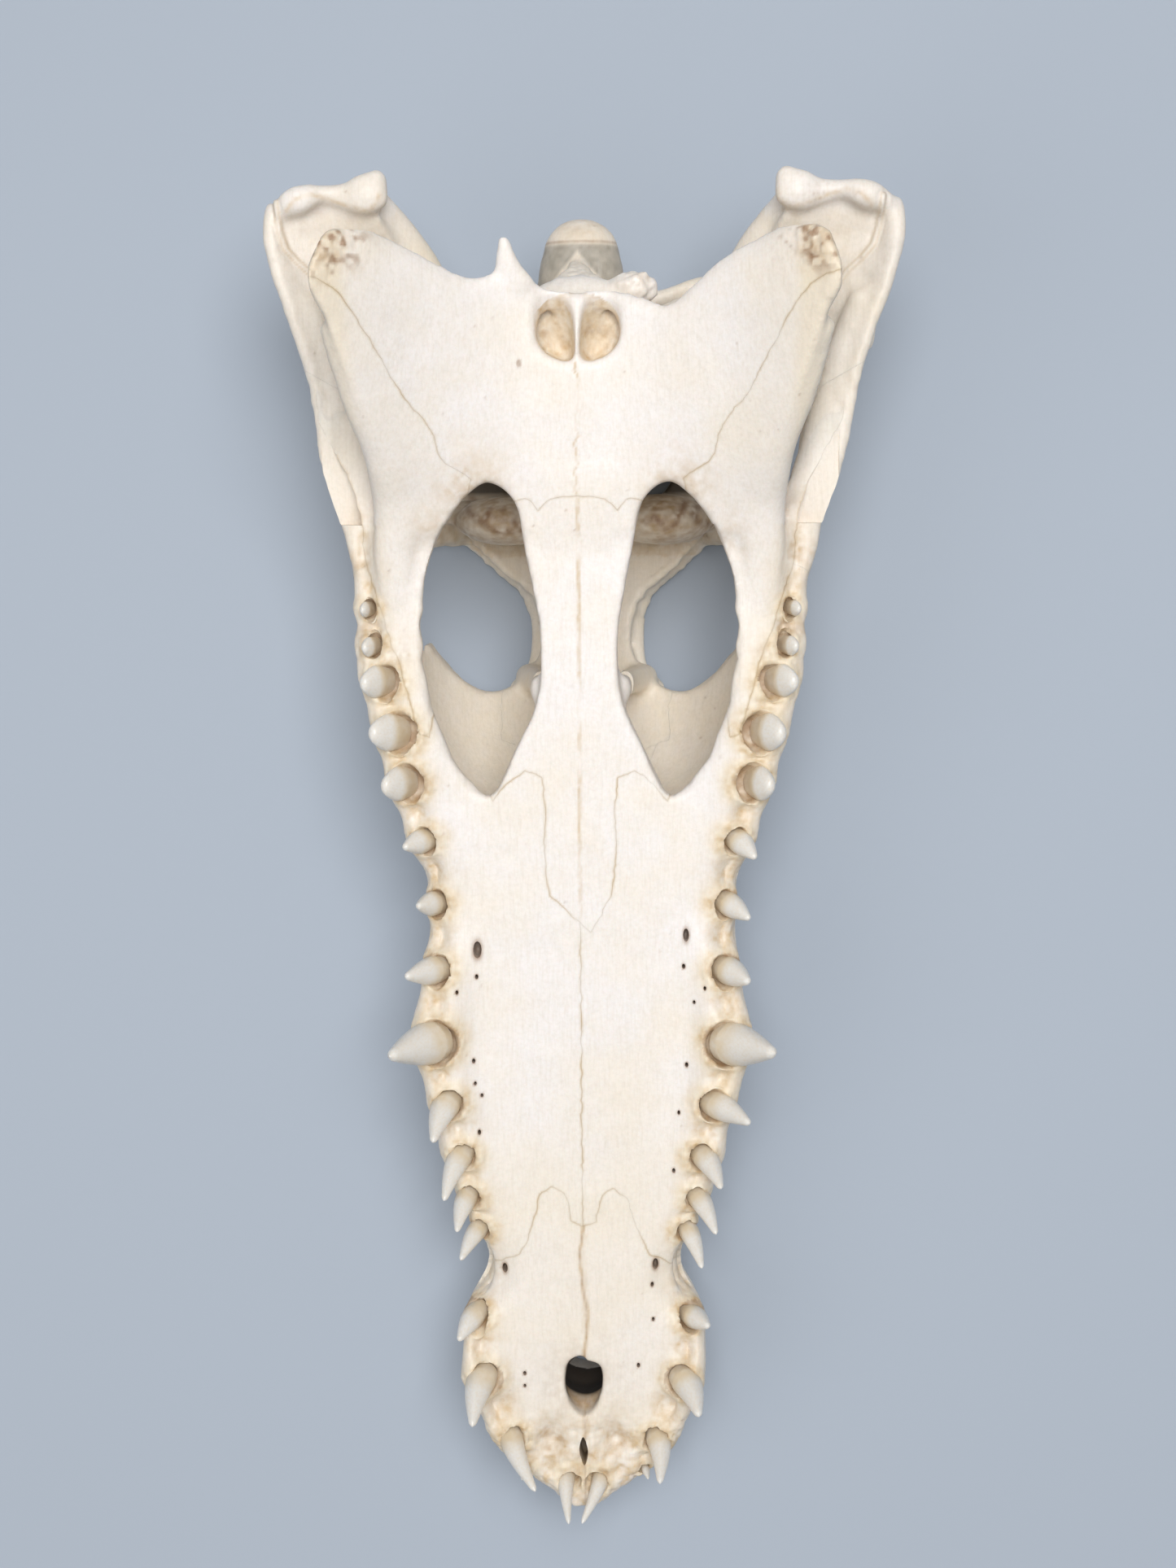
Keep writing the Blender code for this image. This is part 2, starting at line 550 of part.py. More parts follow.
def face_cavity():
    """The room between palate and roof that the fenestrae and orbits open into."""
    rings = []
    for y in (213, 215, 219, 225, 235, 250, 265, 280, 295, 310):
        shrink = through([(213, 0.35), (215, 0.6), (219, 0.8), (225, 0.92), (235, 1), (310, 1)], y)
        half = (through(JAW_HALF_WIDTH, y) - WALL) * shrink
        top = (through(ROOF_HEIGHT, y) + ROOF_THICKNESS + PALATE_THICKNESS) * shrink - PALATE_THICKNESS
        angle = np.linspace(0, math.pi, 24)
        base = -PALATE_THICKNESS - 2.5
        x = half * np.cos(angle)
        z = base + (top - base) * np.sin(angle)
        floor = np.linspace(-1, 1, 8)
        xs = np.concatenate([x, floor * half * 0.97])
        zs = np.concatenate([z, np.full(8, -PALATE_THICKNESS)])
        rings.append(np.stack([xs, np.full(len(xs), y), zs], 1))
    return loft("cavity", rings)


def skull_table():
    rings = []
    angle = np.linspace(0, 2 * math.pi, 36, endpoint=False)
    c = np.sign(np.cos(angle)) * np.abs(np.cos(angle)) ** 0.4
    s = np.sign(np.sin(angle)) * np.abs(np.sin(angle)) ** 0.4
    for y in (282, 285, 288, 290, 292, 295, 299, 304, 311, 318, 325, 332, 340, 347, 352, 356, 360):
        half = through(TABLE_HALF_WIDTH, y)
        thick = through(TABLE_THICKNESS, y) / 2
        level = TABLE_HEIGHT - TABLE_SLOPE * (y - 290)
        dish = (1 - c**2) * np.clip((y - 290) / 20, 0, 1)
        notch = TABLE_NOTCH * np.clip((y - 335) / 25, 0, 1) * (1 - c**2)
        rings.append(np.stack([half * c, y - notch, level + dish + thick * s], 1))
    return loft("table", rings)


def plate_level(x, y):
    """Height of the middle of the palate's back plate, low in the middle and rising to the wings."""
    x = np.abs(x)
    middle = through(PLATE_MIDDLE, y)
    outwards = np.clip((x - 12) / 54, 0, 1.2)
    return middle + through(PLATE_RISE, y) * outwards**1.35


def broken_off(x):
    middle, reach, depth = BROKEN_EDGE
    return depth * math.exp(-(((x - middle) / reach) ** 2))


def palate_plate():
    rings = []
    for x in np.linspace(-PLATE_BACK[-1][0], PLATE_BACK[-1][0], 47):
        front = through(PLATE_FRONT, abs(x))
        back = through(PLATE_BACK, abs(x)) - broken_off(x)
        thick = through(PLATE_THICKNESS, abs(x)) / 2
        ys = np.linspace(front, back, 20)
        edge = np.clip(np.minimum(ys - front, back - ys) / thick, 0, 1)
        depth = thick * np.sqrt(np.clip(1 - (1 - edge) ** 2, 0.02, 1))
        mid = plate_level(x, ys)
        ring = [np.stack([np.full(20, x), ys, mid - 2 + depth], 1)]
        ring.append(np.stack([np.full(20, x), ys[::-1], (mid - 2 - depth)[::-1]], 1))
        rings.append(np.concatenate(ring))
    return loft("plate", rings)


def palatine_bar():
    rings = []
    angle = np.linspace(0, 2 * math.pi, 24, endpoint=False)
    c = np.sign(np.cos(angle)) * np.abs(np.cos(angle)) ** 0.6
    s = np.sign(np.sin(angle)) * np.abs(np.sin(angle)) ** 0.6
    for y in np.arange(205, 319, 4.0):
        top = through([(205, 0), (290, 0.4), (305, 2.5), (318, 4)], y)
        depth = through([(205, 10), (240, 15), (290, 15), (318, 18)], y)
        half = through(PALATINE_HALF_WIDTH, y)
        rings.append(np.stack([half * c, np.full(24, y), top - depth / 2 + depth / 2 * s], 1))
    return loft("palatine", rings)


def side_bars(s):
    """The bars and plates of one side, with s as +1 on the right and -1 on the left."""
    def at(points):
        return [(s * x, y, z) for x, y, z in points]

    made = [sheet("plate", at(one), at(other), thick) for one, other, thick in SIDE_PLATES]
    made += [sweep("bar", at(path), wide, high, up) for path, wide, high, up in SIDE_BARS]
    made += [ball("knob", (s * x, y, z), radii) for (x, y, z), radii in SIDE_KNOBS]
    bridge = BRIDGE_START + [BRIDGE_END_RIGHT if s > 0 else BRIDGE_END_LEFT]
    made.append(sweep("bridge", at(bridge), BRIDGE_HALF_WIDTH, BRIDGE_HALF_HEIGHT))
    return made


def braincase():
    rings = []
    angle = np.linspace(0, 2 * math.pi, 24, endpoint=False)
    c = np.sign(np.cos(angle)) * np.abs(np.cos(angle)) ** 0.8
    s = np.sign(np.sin(angle)) * np.abs(np.sin(angle)) ** 0.8
    for y in np.arange(CASE_HALF_WIDTH[0][0], CASE_HALF_WIDTH[-1][0] + 1, 4.0):
        half = through(CASE_HALF_WIDTH, y)
        low = through(CASE_UNDERSIDE, y)
        rings.append(np.stack([
            half * c, np.full(24, y), (low + CASE_TOP) / 2 + (low - CASE_TOP) / 2 * s,
        ], 1))
    made = [loft("case", rings)]
    made += [sweep("bar", path, wide, high, up) for path, wide, high, up in MIDDLE_BARS]
    made += [ball("condyle", *row) for row in NECK_KNOBS]
    made.append(ball("backing", *CHOANA_BACKING))
    return made


def nostril_cutters():
    """The hole from the palate's front through the snout to the nostrils, and the start of the airway."""
    rings = []
    angle = np.linspace(0, 2 * math.pi, 24, endpoint=False)
    for z, half, front, back in NOSTRIL:
        middle, reach = (front + back) / 2, (back - front) / 2
        rings.append(np.stack([half * np.cos(angle), middle + reach * np.sin(angle), np.full(24, z)], 1))
    made = [loft("nostril", rings), sweep("airway", AIRWAY, AIRWAY_HALF_SIZE, AIRWAY_HALF_SIZE)]
    made.append(prism("incisive", closed_curve(INCISIVE), -5, 12))
    return made


def oval(centre_x, centre_y, half_x, half_y, count=28):
    angle = np.linspace(0, 2 * math.pi, count, endpoint=False)
    return [(centre_x + half_x * math.cos(a), centre_y + half_y * math.sin(a)) for a in angle]


def nostril_rim():
    """The raised lip round the nostrils on the snout's roof, in two overlapping halves."""
    back, level = NOSTRIL_RIM
    across, along = NOSTRIL_RIM_REACH
    wide, high = NOSTRIL_RIM_SIZE
    rings = []
    for a in np.linspace(0, 2 * math.pi, 25):
        centre = np.array([across * math.cos(a), back + along * math.sin(a), level])
        out = np.array([math.cos(a), math.sin(a), 0])
        turn = np.linspace(0, 2 * math.pi, 10, endpoint=False)
        rings.append([centre + out * wide * math.cos(t) + np.array([0, 0, high * math.sin(t)]) for t in turn])
    return [loft("rim_a", rings[:14]), loft("rim_b", rings[12:])]


def choana():
    """Two scoops side by side that are deep in front and run out behind."""
    angle = np.linspace(0, 2 * math.pi, 28, endpoint=False)
    c = np.sign(np.cos(angle)) * np.abs(np.cos(angle)) ** 0.8
    s = np.sign(np.sin(angle)) * np.abs(np.sin(angle)) ** 0.8
    made = []
    for side in (1, -1):
        rings = []
        for y in np.linspace(CHOANA_DEPTH[0][0], CHOANA_DEPTH[-1][0], 22):
            half = (through(CHOANA_HALF_WIDTH, y) - CHOANA_WALL) / 2
            top = plate_level(0, y) + 14
            floor = plate_level(0, y) + 1 - through(CHOANA_DEPTH, y)
            x = CHOANA_MIDDLE + side * (CHOANA_WALL + half * (1 + c))
            rings.append(np.stack([x, np.full(28, y), (top + floor) / 2 + (top - floor) / 2 * s], 1))
        made.append(loft("scoop", rings))
    return made


def both_sides(row):
    (x, y, z), radii = row
    return [ball("hollow", (s * x, y, z), radii) for s in (1, -1)]


def whole_bone():
    """The whole skull without its teeth, as one body that isn't parted yet."""
    shell = fused("skull", [face(), skull_table(), palate_plate()] + nostril_rim(), VOXEL)
    cutters = [face_cavity()] + nostril_cutters()
    for flip in (list, mirrored):
        cutters.append(prism("fenestra", closed_curve(flip(FENESTRA)), -24, 30))
        cutters.append(prism("orbit", closed_curve(flip(ORBIT)), ABOVE_ROOF, -20))
        cutters.append(prism("temporal", flip(oval(*TEMPORAL_HOLE)), ABOVE_ROOF, -60))
    for s in (1, -1):
        cutters.append(side_region(closed_curve(ORBIT_SIDE), s, ORBIT_SIDE_INNER, BESIDE))
    for cutter in cutters:
        boolean(shell, [cutter], "DIFFERENCE")
    inner = [palatine_bar()] + side_bars(1) + side_bars(-1) + braincase()
    inner.append(sweep("spur", SPUR, SPUR_HALF_WIDTH, SPUR_HALF_HEIGHT))
    inner.append(ball("lump", *BROKEN_LUMP))
    whole = fused("skull", [shell] + inner, VOXEL)
    for hollow in choana() + both_sides(BACK_HOLLOW) + [ball("cord", *CORD_OPENING)]:
        boolean(whole, [hollow], "DIFFERENCE")
    remesh = whole.modifiers.new("skin", "REMESH")
    remesh.mode = "VOXEL"
    remesh.voxel_size = VOXEL
    smooth = whole.modifiers.new("smooth", "SMOOTH")
    smooth.factor = 0.5
    smooth.iterations = 4
    settled(whole)
    largest_body(whole)
    for vertex in whole.data.vertices:
        x, y, _ = vertex.co
        vertex.co.x += WIDER_RIGHT * abs(x) * min(max((y - WIDER_START) / WIDER_RUN, 0), 1)
    thin = whole.modifiers.new("thin", "DECIMATE")
    thin.ratio = BONE_TRIANGLES / (2 * len(whole.data.polygons))
    return settled(whole)


def nasal_region(grow=0.0):
    rings = []
    front, back = NASAL_HALF_WIDTH[0][0], NASAL_HALF_WIDTH[-1][0]
    for y in [front - grow] + [row[0] for row in NASAL_HALF_WIDTH[1:-1]] + [back + grow]:
        half = through(NASAL_HALF_WIDTH, y) + grow
        deep = through(ROOF_HEIGHT, y) + NASAL_THICKNESS + grow
        rings.append([(half, y, ABOVE_ROOF), (half, y, deep), (-half, y, deep), (-half, y, ABOVE_ROOF)])
    return loft("region", rings)


def side_region(outline, s, inner, outer, grow=0.0):
    """A body over an outline in the side view, reaching across from inner to outer."""
    p = np.array(outline, float)
    if grow:
        p = moved_out(p, grow)
    rings = [np.column_stack([np.full(len(p), s * x), p]) for x in (inner - grow, outer)]
    return loft("region", rings)


def quadrate_region(s, grow=0.0):
    """The quadrate's space, whose inner side leans out towards the roof."""
    rings = []
    for level, inner in QUADRATE_INNER:
        p = np.array([(max(x, inner), y) for x, y in QUADRATE_REGION], float)
        if grow:
            p = moved_out(p, grow)
        z = level - grow if level == QUADRATE_INNER[0][0] else level
        rings.append(np.column_stack([s * p[:, 0], p[:, 1], np.full(len(p), z)]))
    return loft("region", rings)


def jugal_region(s, grow=0.0):
    """The jugal's space, whose front reaches further forward on its outer side."""
    p = np.array(JUGAL_REGION, float)
    if grow:
        p = moved_out(p, grow)
    rings = []
    for across in (JUGAL_INNER - grow, BESIDE):
        forward = JUGAL_LEAN * (across - JUGAL_INNER)
        rings.append(np.column_stack([np.full(len(p), s * across), p[:, 0] - forward, p[:, 1]]))
    return loft("region", rings)


def flat_region(outline, low, high):
    return lambda grow=0.0: prism("region", outline, low, high, grow)


def regions():
    """Each bone's name with the function that makes the space it takes from what is left."""
    both = (("left", mirrored, -1), ("right", list, 1))
    found = [("nasals", nasal_region)]
    found.append(("premaxillae", flat_region(FRONT_SUTURE, ABOVE_ROOF, BELOW_PALATE)))
    palatines = PALATINE_SUTURE + mirrored(PALATINE_SUTURE)[1:-1]
    found.append(("palatines", flat_region(palatines, PALATINE_TOP, BELOW_PALATE)))
    for side, flip, _ in both:
        found.append(("ectopterygoid_" + side, flat_region(flip(WING_SUTURE), WING_TOP - 1, BELOW_PALATE)))
    found.append(("pterygoids", flat_region(WING_REGION, WING_TOP, BELOW_PALATE)))
    found.append(("frontal", flat_region(FRONTAL_REGION, ABOVE_ROOF, FRONTAL_DEPTH)))
    for side, flip, _ in both:
        found.append(("lacrimal_" + side, flat_region(flip(LACRIMAL_REGION), ABOVE_ROOF, LACRIMAL_DEPTH)))
    for side, _, s in both:
        found.append(("quadrate_" + side, lambda grow=0.0, s=s: quadrate_region(s, grow)))
    for side, _, s in both:
        found.append(("jugal_" + side, lambda grow=0.0, s=s: jugal_region(s, grow)))
    table = TABLE_REGION + mirrored(TABLE_REGION)
    found.append(("skull_table", flat_region(table, ABOVE_ROOF, TABLE_UNDERSIDE)))
    found.append(("braincase", flat_region(CASE_REGION + mirrored(CASE_REGION), ABOVE_ROOF, WING_TOP + 1)))
    right = [(GAP / 2, 0), (BESIDE, 0), (BESIDE, FACE_END), (GAP / 2, FACE_END)]
    for side, flip, _ in both:
        found.append(("maxilla_" + side, flat_region(flip(right), ABOVE_ROOF, BELOW_PALATE)))
    return found


def bones(whole):
    """The whole skull parted into its bones, with a thin gap along each suture."""
    made = {}
    for name, region in regions():
        piece = copied(whole, name)
        boolean(piece, [region()], "INTERSECT")
        made[name] = largest_body(piece)
        boolean(whole, [region(GAP)], "DIFFERENCE")
    removed([whole])
    return made


def tooth(base, lean, width, crown, side):
    """One conical tooth that curves towards its tip, with its root sunk in the jaw."""
    out, forward = lean
    tip = np.array([base[0] + side * out, base[1] - forward, base[2] + crown])
    foot = np.array(base) - (tip - base) * ROOT_SLANT * ROOT_DEPTH / crown
    bend = np.array([side * 0.08 * crown, 0, 0])
    angle = np.linspace(0, 2 * math.pi, 7, endpoint=False)
    rings = []
    for share, size in ((0.0, 0.85), (0.3, 1.0), (0.6, 0.78), (0.84, 0.42), (0.99, 0.06)):
        centre = foot + (tip - foot) * share + bend * math.sin(math.pi * share)
        radius = width / 2 * size
        rings.append(np.stack([
            centre[0] + radius * np.cos(angle), centre[1] + radius * np.sin(angle), np.full(7, centre[2]),
        ], 1))
    return loft("tooth", rings)


def add_teeth(made):
    for side, sign, which in (("left", -1, 4), ("right", 1, 5)):
        for row in TEETH:
            back, beside, width, crown = row[:4]
            gum = through(GUM_HEIGHT, back)
            made_tooth = tooth((sign * beside, back, gum - 1.0), row[which], width, crown, sign)
            home = "premaxillae" if back < LAST_FRONT_TOOTH else "maxilla_" + side
            yield home, made_tooth


def rest_pose(made):
    """The turn and shift that lay the skull on its roof, with the origin under the middle of its box."""
    points = np.concatenate([np.array([v.co for v in obj.data.vertices]) for obj in made.values()])
    front = points[points[:, 1] < FRONT_REST_END]
    rear = points[points[:, 1] > REAR_REST_START]
    tilt = 0.0
    for _ in range(8):
        c, s = math.cos(tilt), math.sin(tilt)
        ends = []
        for part in (front, rear):
            low = part[(part[:, 1] * s + part[:, 2] * c).argmin()]
            ends.append((low[1] * c - low[2] * s, low[1] * s + low[2] * c))
        tilt -= math.atan2(ends[1][1] - ends[0][1], ends[1][0] - ends[0][0])
    turn = Matrix.Rotation(tilt, 4, "X")
    turned = points @ np.array(turn.to_3x3()).T
    low, high = turned.min(axis=0), turned.max(axis=0)
    shift = (-(low[0] + high[0]) / 2, -(low[1] + high[1]) / 2, -low[2] - FLAT_DEPTH)
    return Matrix.Translation(shift) @ turn


def laid_down(made):
    """Rests the skull on small flats at the floor and turns millimetres into metres."""
    pose = rest_pose(made)
    for obj in made.values():
        obj.data.transform(pose)
        if min(v.co.z for v in obj.data.vertices) < 0:
            under = prism("floor", [(-300, -300), (300, -300), (300, 300), (-300, 300)], -50, 0)
            boolean(obj, [under], "DIFFERENCE")
            largest_body(obj)
        obj.data.transform(Matrix.Scale(MM, 4))
    return pose


def finish(name, obj):
    tone = "cream" if name.startswith(CREAM_BONES) else "bone"
    material = bpy.data.materials.new(name + "_bone")
    material.use_nodes = True
    shader = material.node_tree.nodes["Principled BSDF"]
    shader.inputs["Base Color"].default_value = COLOURS[tone]
    shader.inputs["Roughness"].default_value = ROUGHNESS
    obj.data.materials.clear()
    obj.data.materials.append(material)
    obj.data.shade_smooth()
    obj.name = name


def main():
    for obj in list(bpy.data.objects):
        bpy.data.objects.remove(obj)
    made = bones(whole_bone())
    rows = {}
    for home, piece in add_teeth(made):
        rows.setdefault(home, []).append(piece)
    for home, pieces in rows.items():
        boolean(made[home], pieces, "UNION")
        largest_body(made[home])
    pose = laid_down(made)
    for name, obj in made.items():
        finish(name, obj)
    return pose


main()
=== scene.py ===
"""The looks of a cleaned crocodile skull that lies on its roof, seen from above as in the photo.

The bones are built again in finer detail from the same shapes as the part, in millimetres in the skull's own
frame: X runs across, Y runs back from the tip of the snout, and Z is zero on the palate and grows downwards
in life. They are then laid down as the part is, in metres with +Z up.
"""

import math
from functools import partial

import bmesh
import bpy
import numpy as np
from mathutils import Matrix, Vector

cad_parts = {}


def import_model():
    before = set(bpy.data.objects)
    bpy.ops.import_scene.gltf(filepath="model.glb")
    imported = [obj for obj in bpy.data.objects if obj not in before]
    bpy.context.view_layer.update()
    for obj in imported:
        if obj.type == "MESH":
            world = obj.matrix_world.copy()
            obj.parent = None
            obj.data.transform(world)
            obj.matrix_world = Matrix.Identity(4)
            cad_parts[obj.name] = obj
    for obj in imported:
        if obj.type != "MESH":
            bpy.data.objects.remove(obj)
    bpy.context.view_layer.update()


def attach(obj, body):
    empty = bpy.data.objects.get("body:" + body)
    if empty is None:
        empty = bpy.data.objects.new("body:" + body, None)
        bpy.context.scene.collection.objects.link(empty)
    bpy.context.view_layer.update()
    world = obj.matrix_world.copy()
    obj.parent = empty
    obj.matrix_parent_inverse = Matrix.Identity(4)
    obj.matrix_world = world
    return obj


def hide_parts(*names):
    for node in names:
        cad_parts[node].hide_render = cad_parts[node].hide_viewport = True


# How the part lies: the turn about X in degrees and the shift in millimetres.
REST_TILT = 9.171250
REST_SHIFT = (-1.4332, -198.8417, 35.4272)

# The camera in the skull's frame.
CAMERA_TARGET = (2.4, 225.1, 0.0)
CAMERA_DISTANCE = 620.0
CAMERA_TILT = -8.5
CAMERA_SIDE = 2.0
CAMERA_ROLL = -0.05
CAMERA_LENS = 48.95

# The voxels in millimetres that the bone is skinned with, and how far it is smoothed.
SHELL_VOXEL = 1.0
FINE_VOXEL = 0.62
SMOOTH_AREA = 4 * 1.5**2
FINE_SMOOTHING = 3
# The width of the sutures in millimetres and the angle in degrees past which an edge is shaded sharp.
GAP = 0.03
SHARP_EDGE = 40.0
MM = 0.001
# The sides of the skull and the signs of their places across.
SIDES = (("left", -1), ("right", 1))

# Heights and half widths of the snout and face, each as (distance behind the tip, value).
JAW_HALF_WIDTH = [
    (0, 6), (3, 9.5), (8, 16), (13, 23), (19, 27.2), (26, 30.2), (34, 33.8), (42, 36.2), (52, 37.2),
    (60, 36.8), (67, 34.0), (73, 30.6), (78, 29.9), (85, 31.8), (92, 34.8), (100, 38.2), (113, 42.4),
    (125, 44.8), (138, 48.2), (148, 50.2), (158, 49.1), (170, 46.8), (182, 46.0), (193, 46.0), (202, 49.0),
    (212, 52.3), (222, 55.6), (231, 58.0), (240, 60.6), (250, 63.0), (262, 65.2), (278, 66.0), (292, 67.6),
    (304, 70.0),
]
ROOF_HEIGHT = [
    (0, -13), (5, -20), (12, -29), (20, -36), (28, -39), (40, -40), (52, -39), (65, -36), (85, -34),
    (110, -34.5), (140, -38), (180, -45), (215, -54), (240, -63), (262, -72), (275, -77), (290, -81.5),
    (304, -83.5),
]
GUM_HEIGHT = [
    (0, -5), (12, -2), (30, 3), (43, 5), (58, 2), (72, -4), (85, -1), (110, 2), (130, 4.5), (147, 6.5),
    (165, 4), (190, -0.5), (210, 1.5), (230, 3), (250, 2), (268, -1), (284, -4), (304, -9.5),
]
# The slight unevenness of all bone, each as (depth, size, seed).
UNEVENNESS = [(0.16, 11, 3), (0.07, 4, 4), (0.03, 1.7, 5)]
# How strong the sculpture of the roof is.
ROOF_SCULPTURE = [(0, 0.35), (70, 0.2), (150, 0.3), (220, 0.7), (285, 1.0), (360, 1.0)]
# Levels well outside the skull.
ABOVE_ROOF = -150.0
BELOW_PALATE = 80.0
BESIDE = 120.0
# The two heights that each opening is cut between.
FENESTRA_LEVELS = (-24, 30)
ORBIT_LEVELS = (ABOVE_ROOF, -20)
TEMPORAL_LEVELS = (ABOVE_ROOF, -60)
INCISIVE_LEVELS = (-5, 12)
SLIT_LEVELS = (-9, 8)
# The right side of the real skull is a little wider at the back.
WIDER_RIGHT = 0.014
WIDER_START = 290.0
WIDER_RUN = 50.0
FACE_SQUARENESS = [(0, 2.6), (60, 2.5), (120, 2.25), (240, 2.0), (304, 2.0)]
FACE_BACK = 300.0
# How the face's back end rounds off, as (distance behind the tip, size).
FACE_ROUNDING = [(302, 0.985), (304, 0.95), (305.5, 0.9), (306.5, 0.84)]
FACE_MIDDLE = np.array([0, 0, -42.0])
GUM_EDGE = 4.0
WALL = 7.5
PALATE_THICKNESS = 5.5
ROOF_THICKNESS = 6.0
# The room inside the face, as the places of its rings and the share of its full size.
CAVITY_PLACES = (213, 215, 219, 225, 235, 250, 265, 280, 295, 310)
CAVITY_SHARE = [(213, 0.35), (215, 0.6), (219, 0.8), (225, 0.92), (235, 1), (310, 1)]

# Outlines seen on the palate, on the animal's right side, as (across, back).
FENESTRA = [
    (25, 312), (31, 309), (38, 300.5), (43, 289), (45.5, 276), (45.7, 263), (43.8, 250), (40, 238),
    (34, 227), (27, 221), (23, 225.5), (18.5, 235.5), (13.5, 245.5), (11.3, 256), (11.2, 268), (13, 280),
    (15.5, 293), (18, 306),
]
ORBIT = [
    (14, 264), (16, 255), (22, 248.5), (30, 246.5), (37, 249.5), (43.5, 256.5), (49, 264.5), (53, 274),
    (54, 286), (49, 297), (41, 298.5), (33.5, 290), (25, 281.5), (17.5, 275),
]
ORBIT_SIDE = [
    (256, -47), (260, -38), (268, -32), (279, -30.5), (288, -33), (291, -42), (291, -70), (288, -100),
    (262, -100), (256, -75), (254.5, -60),
]
ORBIT_SIDE_INNER = 49.0
PALATINE_HALF_WIDTH = [
    (205, 26), (221, 25), (228, 22), (236, 18.2), (246, 13.4), (256, 11.2), (268, 11.1), (280, 12.9),
    (293, 15.4), (305, 17.8), (314, 22),
]
PALATINE_TOPS = [(205, 0), (290, 0.4), (305, 2.5), (318, 4)]
PALATINE_DEPTH = [(205, 10), (240, 15), (290, 15), (318, 18)]

# The wing plates of the palate's back, each as (distance from the middle, value).
PLATE_BACK = [
    (0, 365), (8, 366), (14, 369), (20, 371.5), (26, 369.5), (31, 369.5), (37, 372), (44, 375.5), (50, 378),
    (57, 380.5), (62, 380.5), (66.5, 378), (70, 370),
]
# A piece is broken from the plate's back edge on the right, as (middle, reach, depth).
BROKEN_EDGE = (22.5, 9.5, 9.0)
PLATE_FRONT = [(0, 294), (50, 294), (54, 310), (57, 322), (60.5, 333), (64, 345), (66.5, 355), (70, 362)]
PLATE_MIDDLE = [(294, -0.3), (306, 1.2), (318, 2.7), (345, 6.0), (380, 8.0)]
PLATE_RISE = [(294, 0.3), (301, 3.0), (311, 9.5), (320, 15.5), (335, 22), (350, 27), (365, 31), (380, 31.5)]
PLATE_THICKNESS = [(0, 6), (20, 5), (40, 5), (58, 8), (70, 9)]

TABLE_HALF_WIDTH = [
    (282, 16), (287, 25), (291, 36), (295, 42.5), (302, 44.5), (318, 44.5), (335, 46.5), (350, 50.5),
    (357, 50), (360, 48),
]
TABLE_HEIGHT = -79.5
TABLE_THICKNESS = [(282, 5), (300, 9), (354, 9), (360, 5)]
TABLE_SLOPE = 0.02
TABLE_NOTCH = 5.0
TABLE_PLACES = (282, 285, 288, 290, 292, 295, 299, 304, 311, 318, 325, 332, 340, 347, 352, 356, 360)
TEMPORAL_HOLE = (18.0, 318.0, 10.0, 13.0)

# Which way is up when a bar is swept: along the skull's height, or along its length for upright bars.
FLAT = (0, 0, 1)
UPRIGHT = (0, 1, 0)
# How many rings a bar and a plate are made of.
SWEEP_RINGS = 18
SHEET_RINGS = 24

# Plates of one side, each as (points along one edge, points along the other, thickness along it).
SIDE_PLATES = [
    # The cheek bar, with the bone in front of the jaw joint.
    ([(57, 258, -7), (62.5, 280, -9), (67.6, 297, -10), (73.6, 312, -10.5), (76.6, 325, -12),
      (79, 340, -13), (83.4, 355, -13), (89, 372, -13), (91, 383, -13), (89.5, 392, -15)],
     [(58, 258, -27), (60, 280, -30), (61, 297, -31), (63, 312, -30), (65, 325, -31), (65.5, 340, -35),
      (68, 355, -40), (75, 372, -41), (81, 383, -38), (84, 393, -32)],
     [(0, 6), (0.5, 6.5), (1, 8)]),
    # The quadrate, sloping from the braincase out to the jaw joint.
    ([(18, 318, -58), (32, 322, -60), (46, 328, -56), (60, 335, -45), (72, 342, -34), (84, 350, -22)],
     [(22, 360, -56), (34, 369, -50), (46, 379, -42), (53, 391, -32), (66, 395.6, -24.5), (87, 393, -21)],
     [(0, 12), (0.4, 9), (0.8, 9), (1, 9)]),
    # The face below the jaw joint.
    ([(58.5, 389, -17.5), (66, 390, -18), (75, 391, -18.5), (86, 387, -18)],
     [(50, 374, -37), (60, 371, -36), (70, 369, -33), (80, 369, -30)], [(0, 5), (0.5, 6), (1, 7)]),
    # The wall inside the ear notch.
    ([(41, 316, -76), (42, 338, -76), (46, 358, -75)], [(30, 322, -52), (37, 344, -50), (43, 366, -49)],
     [(0, 5), (1, 6)]),
    # The back wall beside the opening for the spinal cord.
    ([(0, 356, -79), (22, 357.5, -79), (40, 360, -77), (54, 367, -69)],
     [(0, 366, -44), (20, 367, -46), (38, 373, -51.5), (55, 374, -61)],
     [(0, 9), (0.5, 7), (1, 4)]),
    # The wall from the palate's back plate to the quadrate.
    ([(6, 318, -4), (18, 322, -20), (32, 330, -42)], [(8, 356, -4), (20, 362, -22), (38, 370, -42)],
     [(0, 8), (1, 7)]),
]
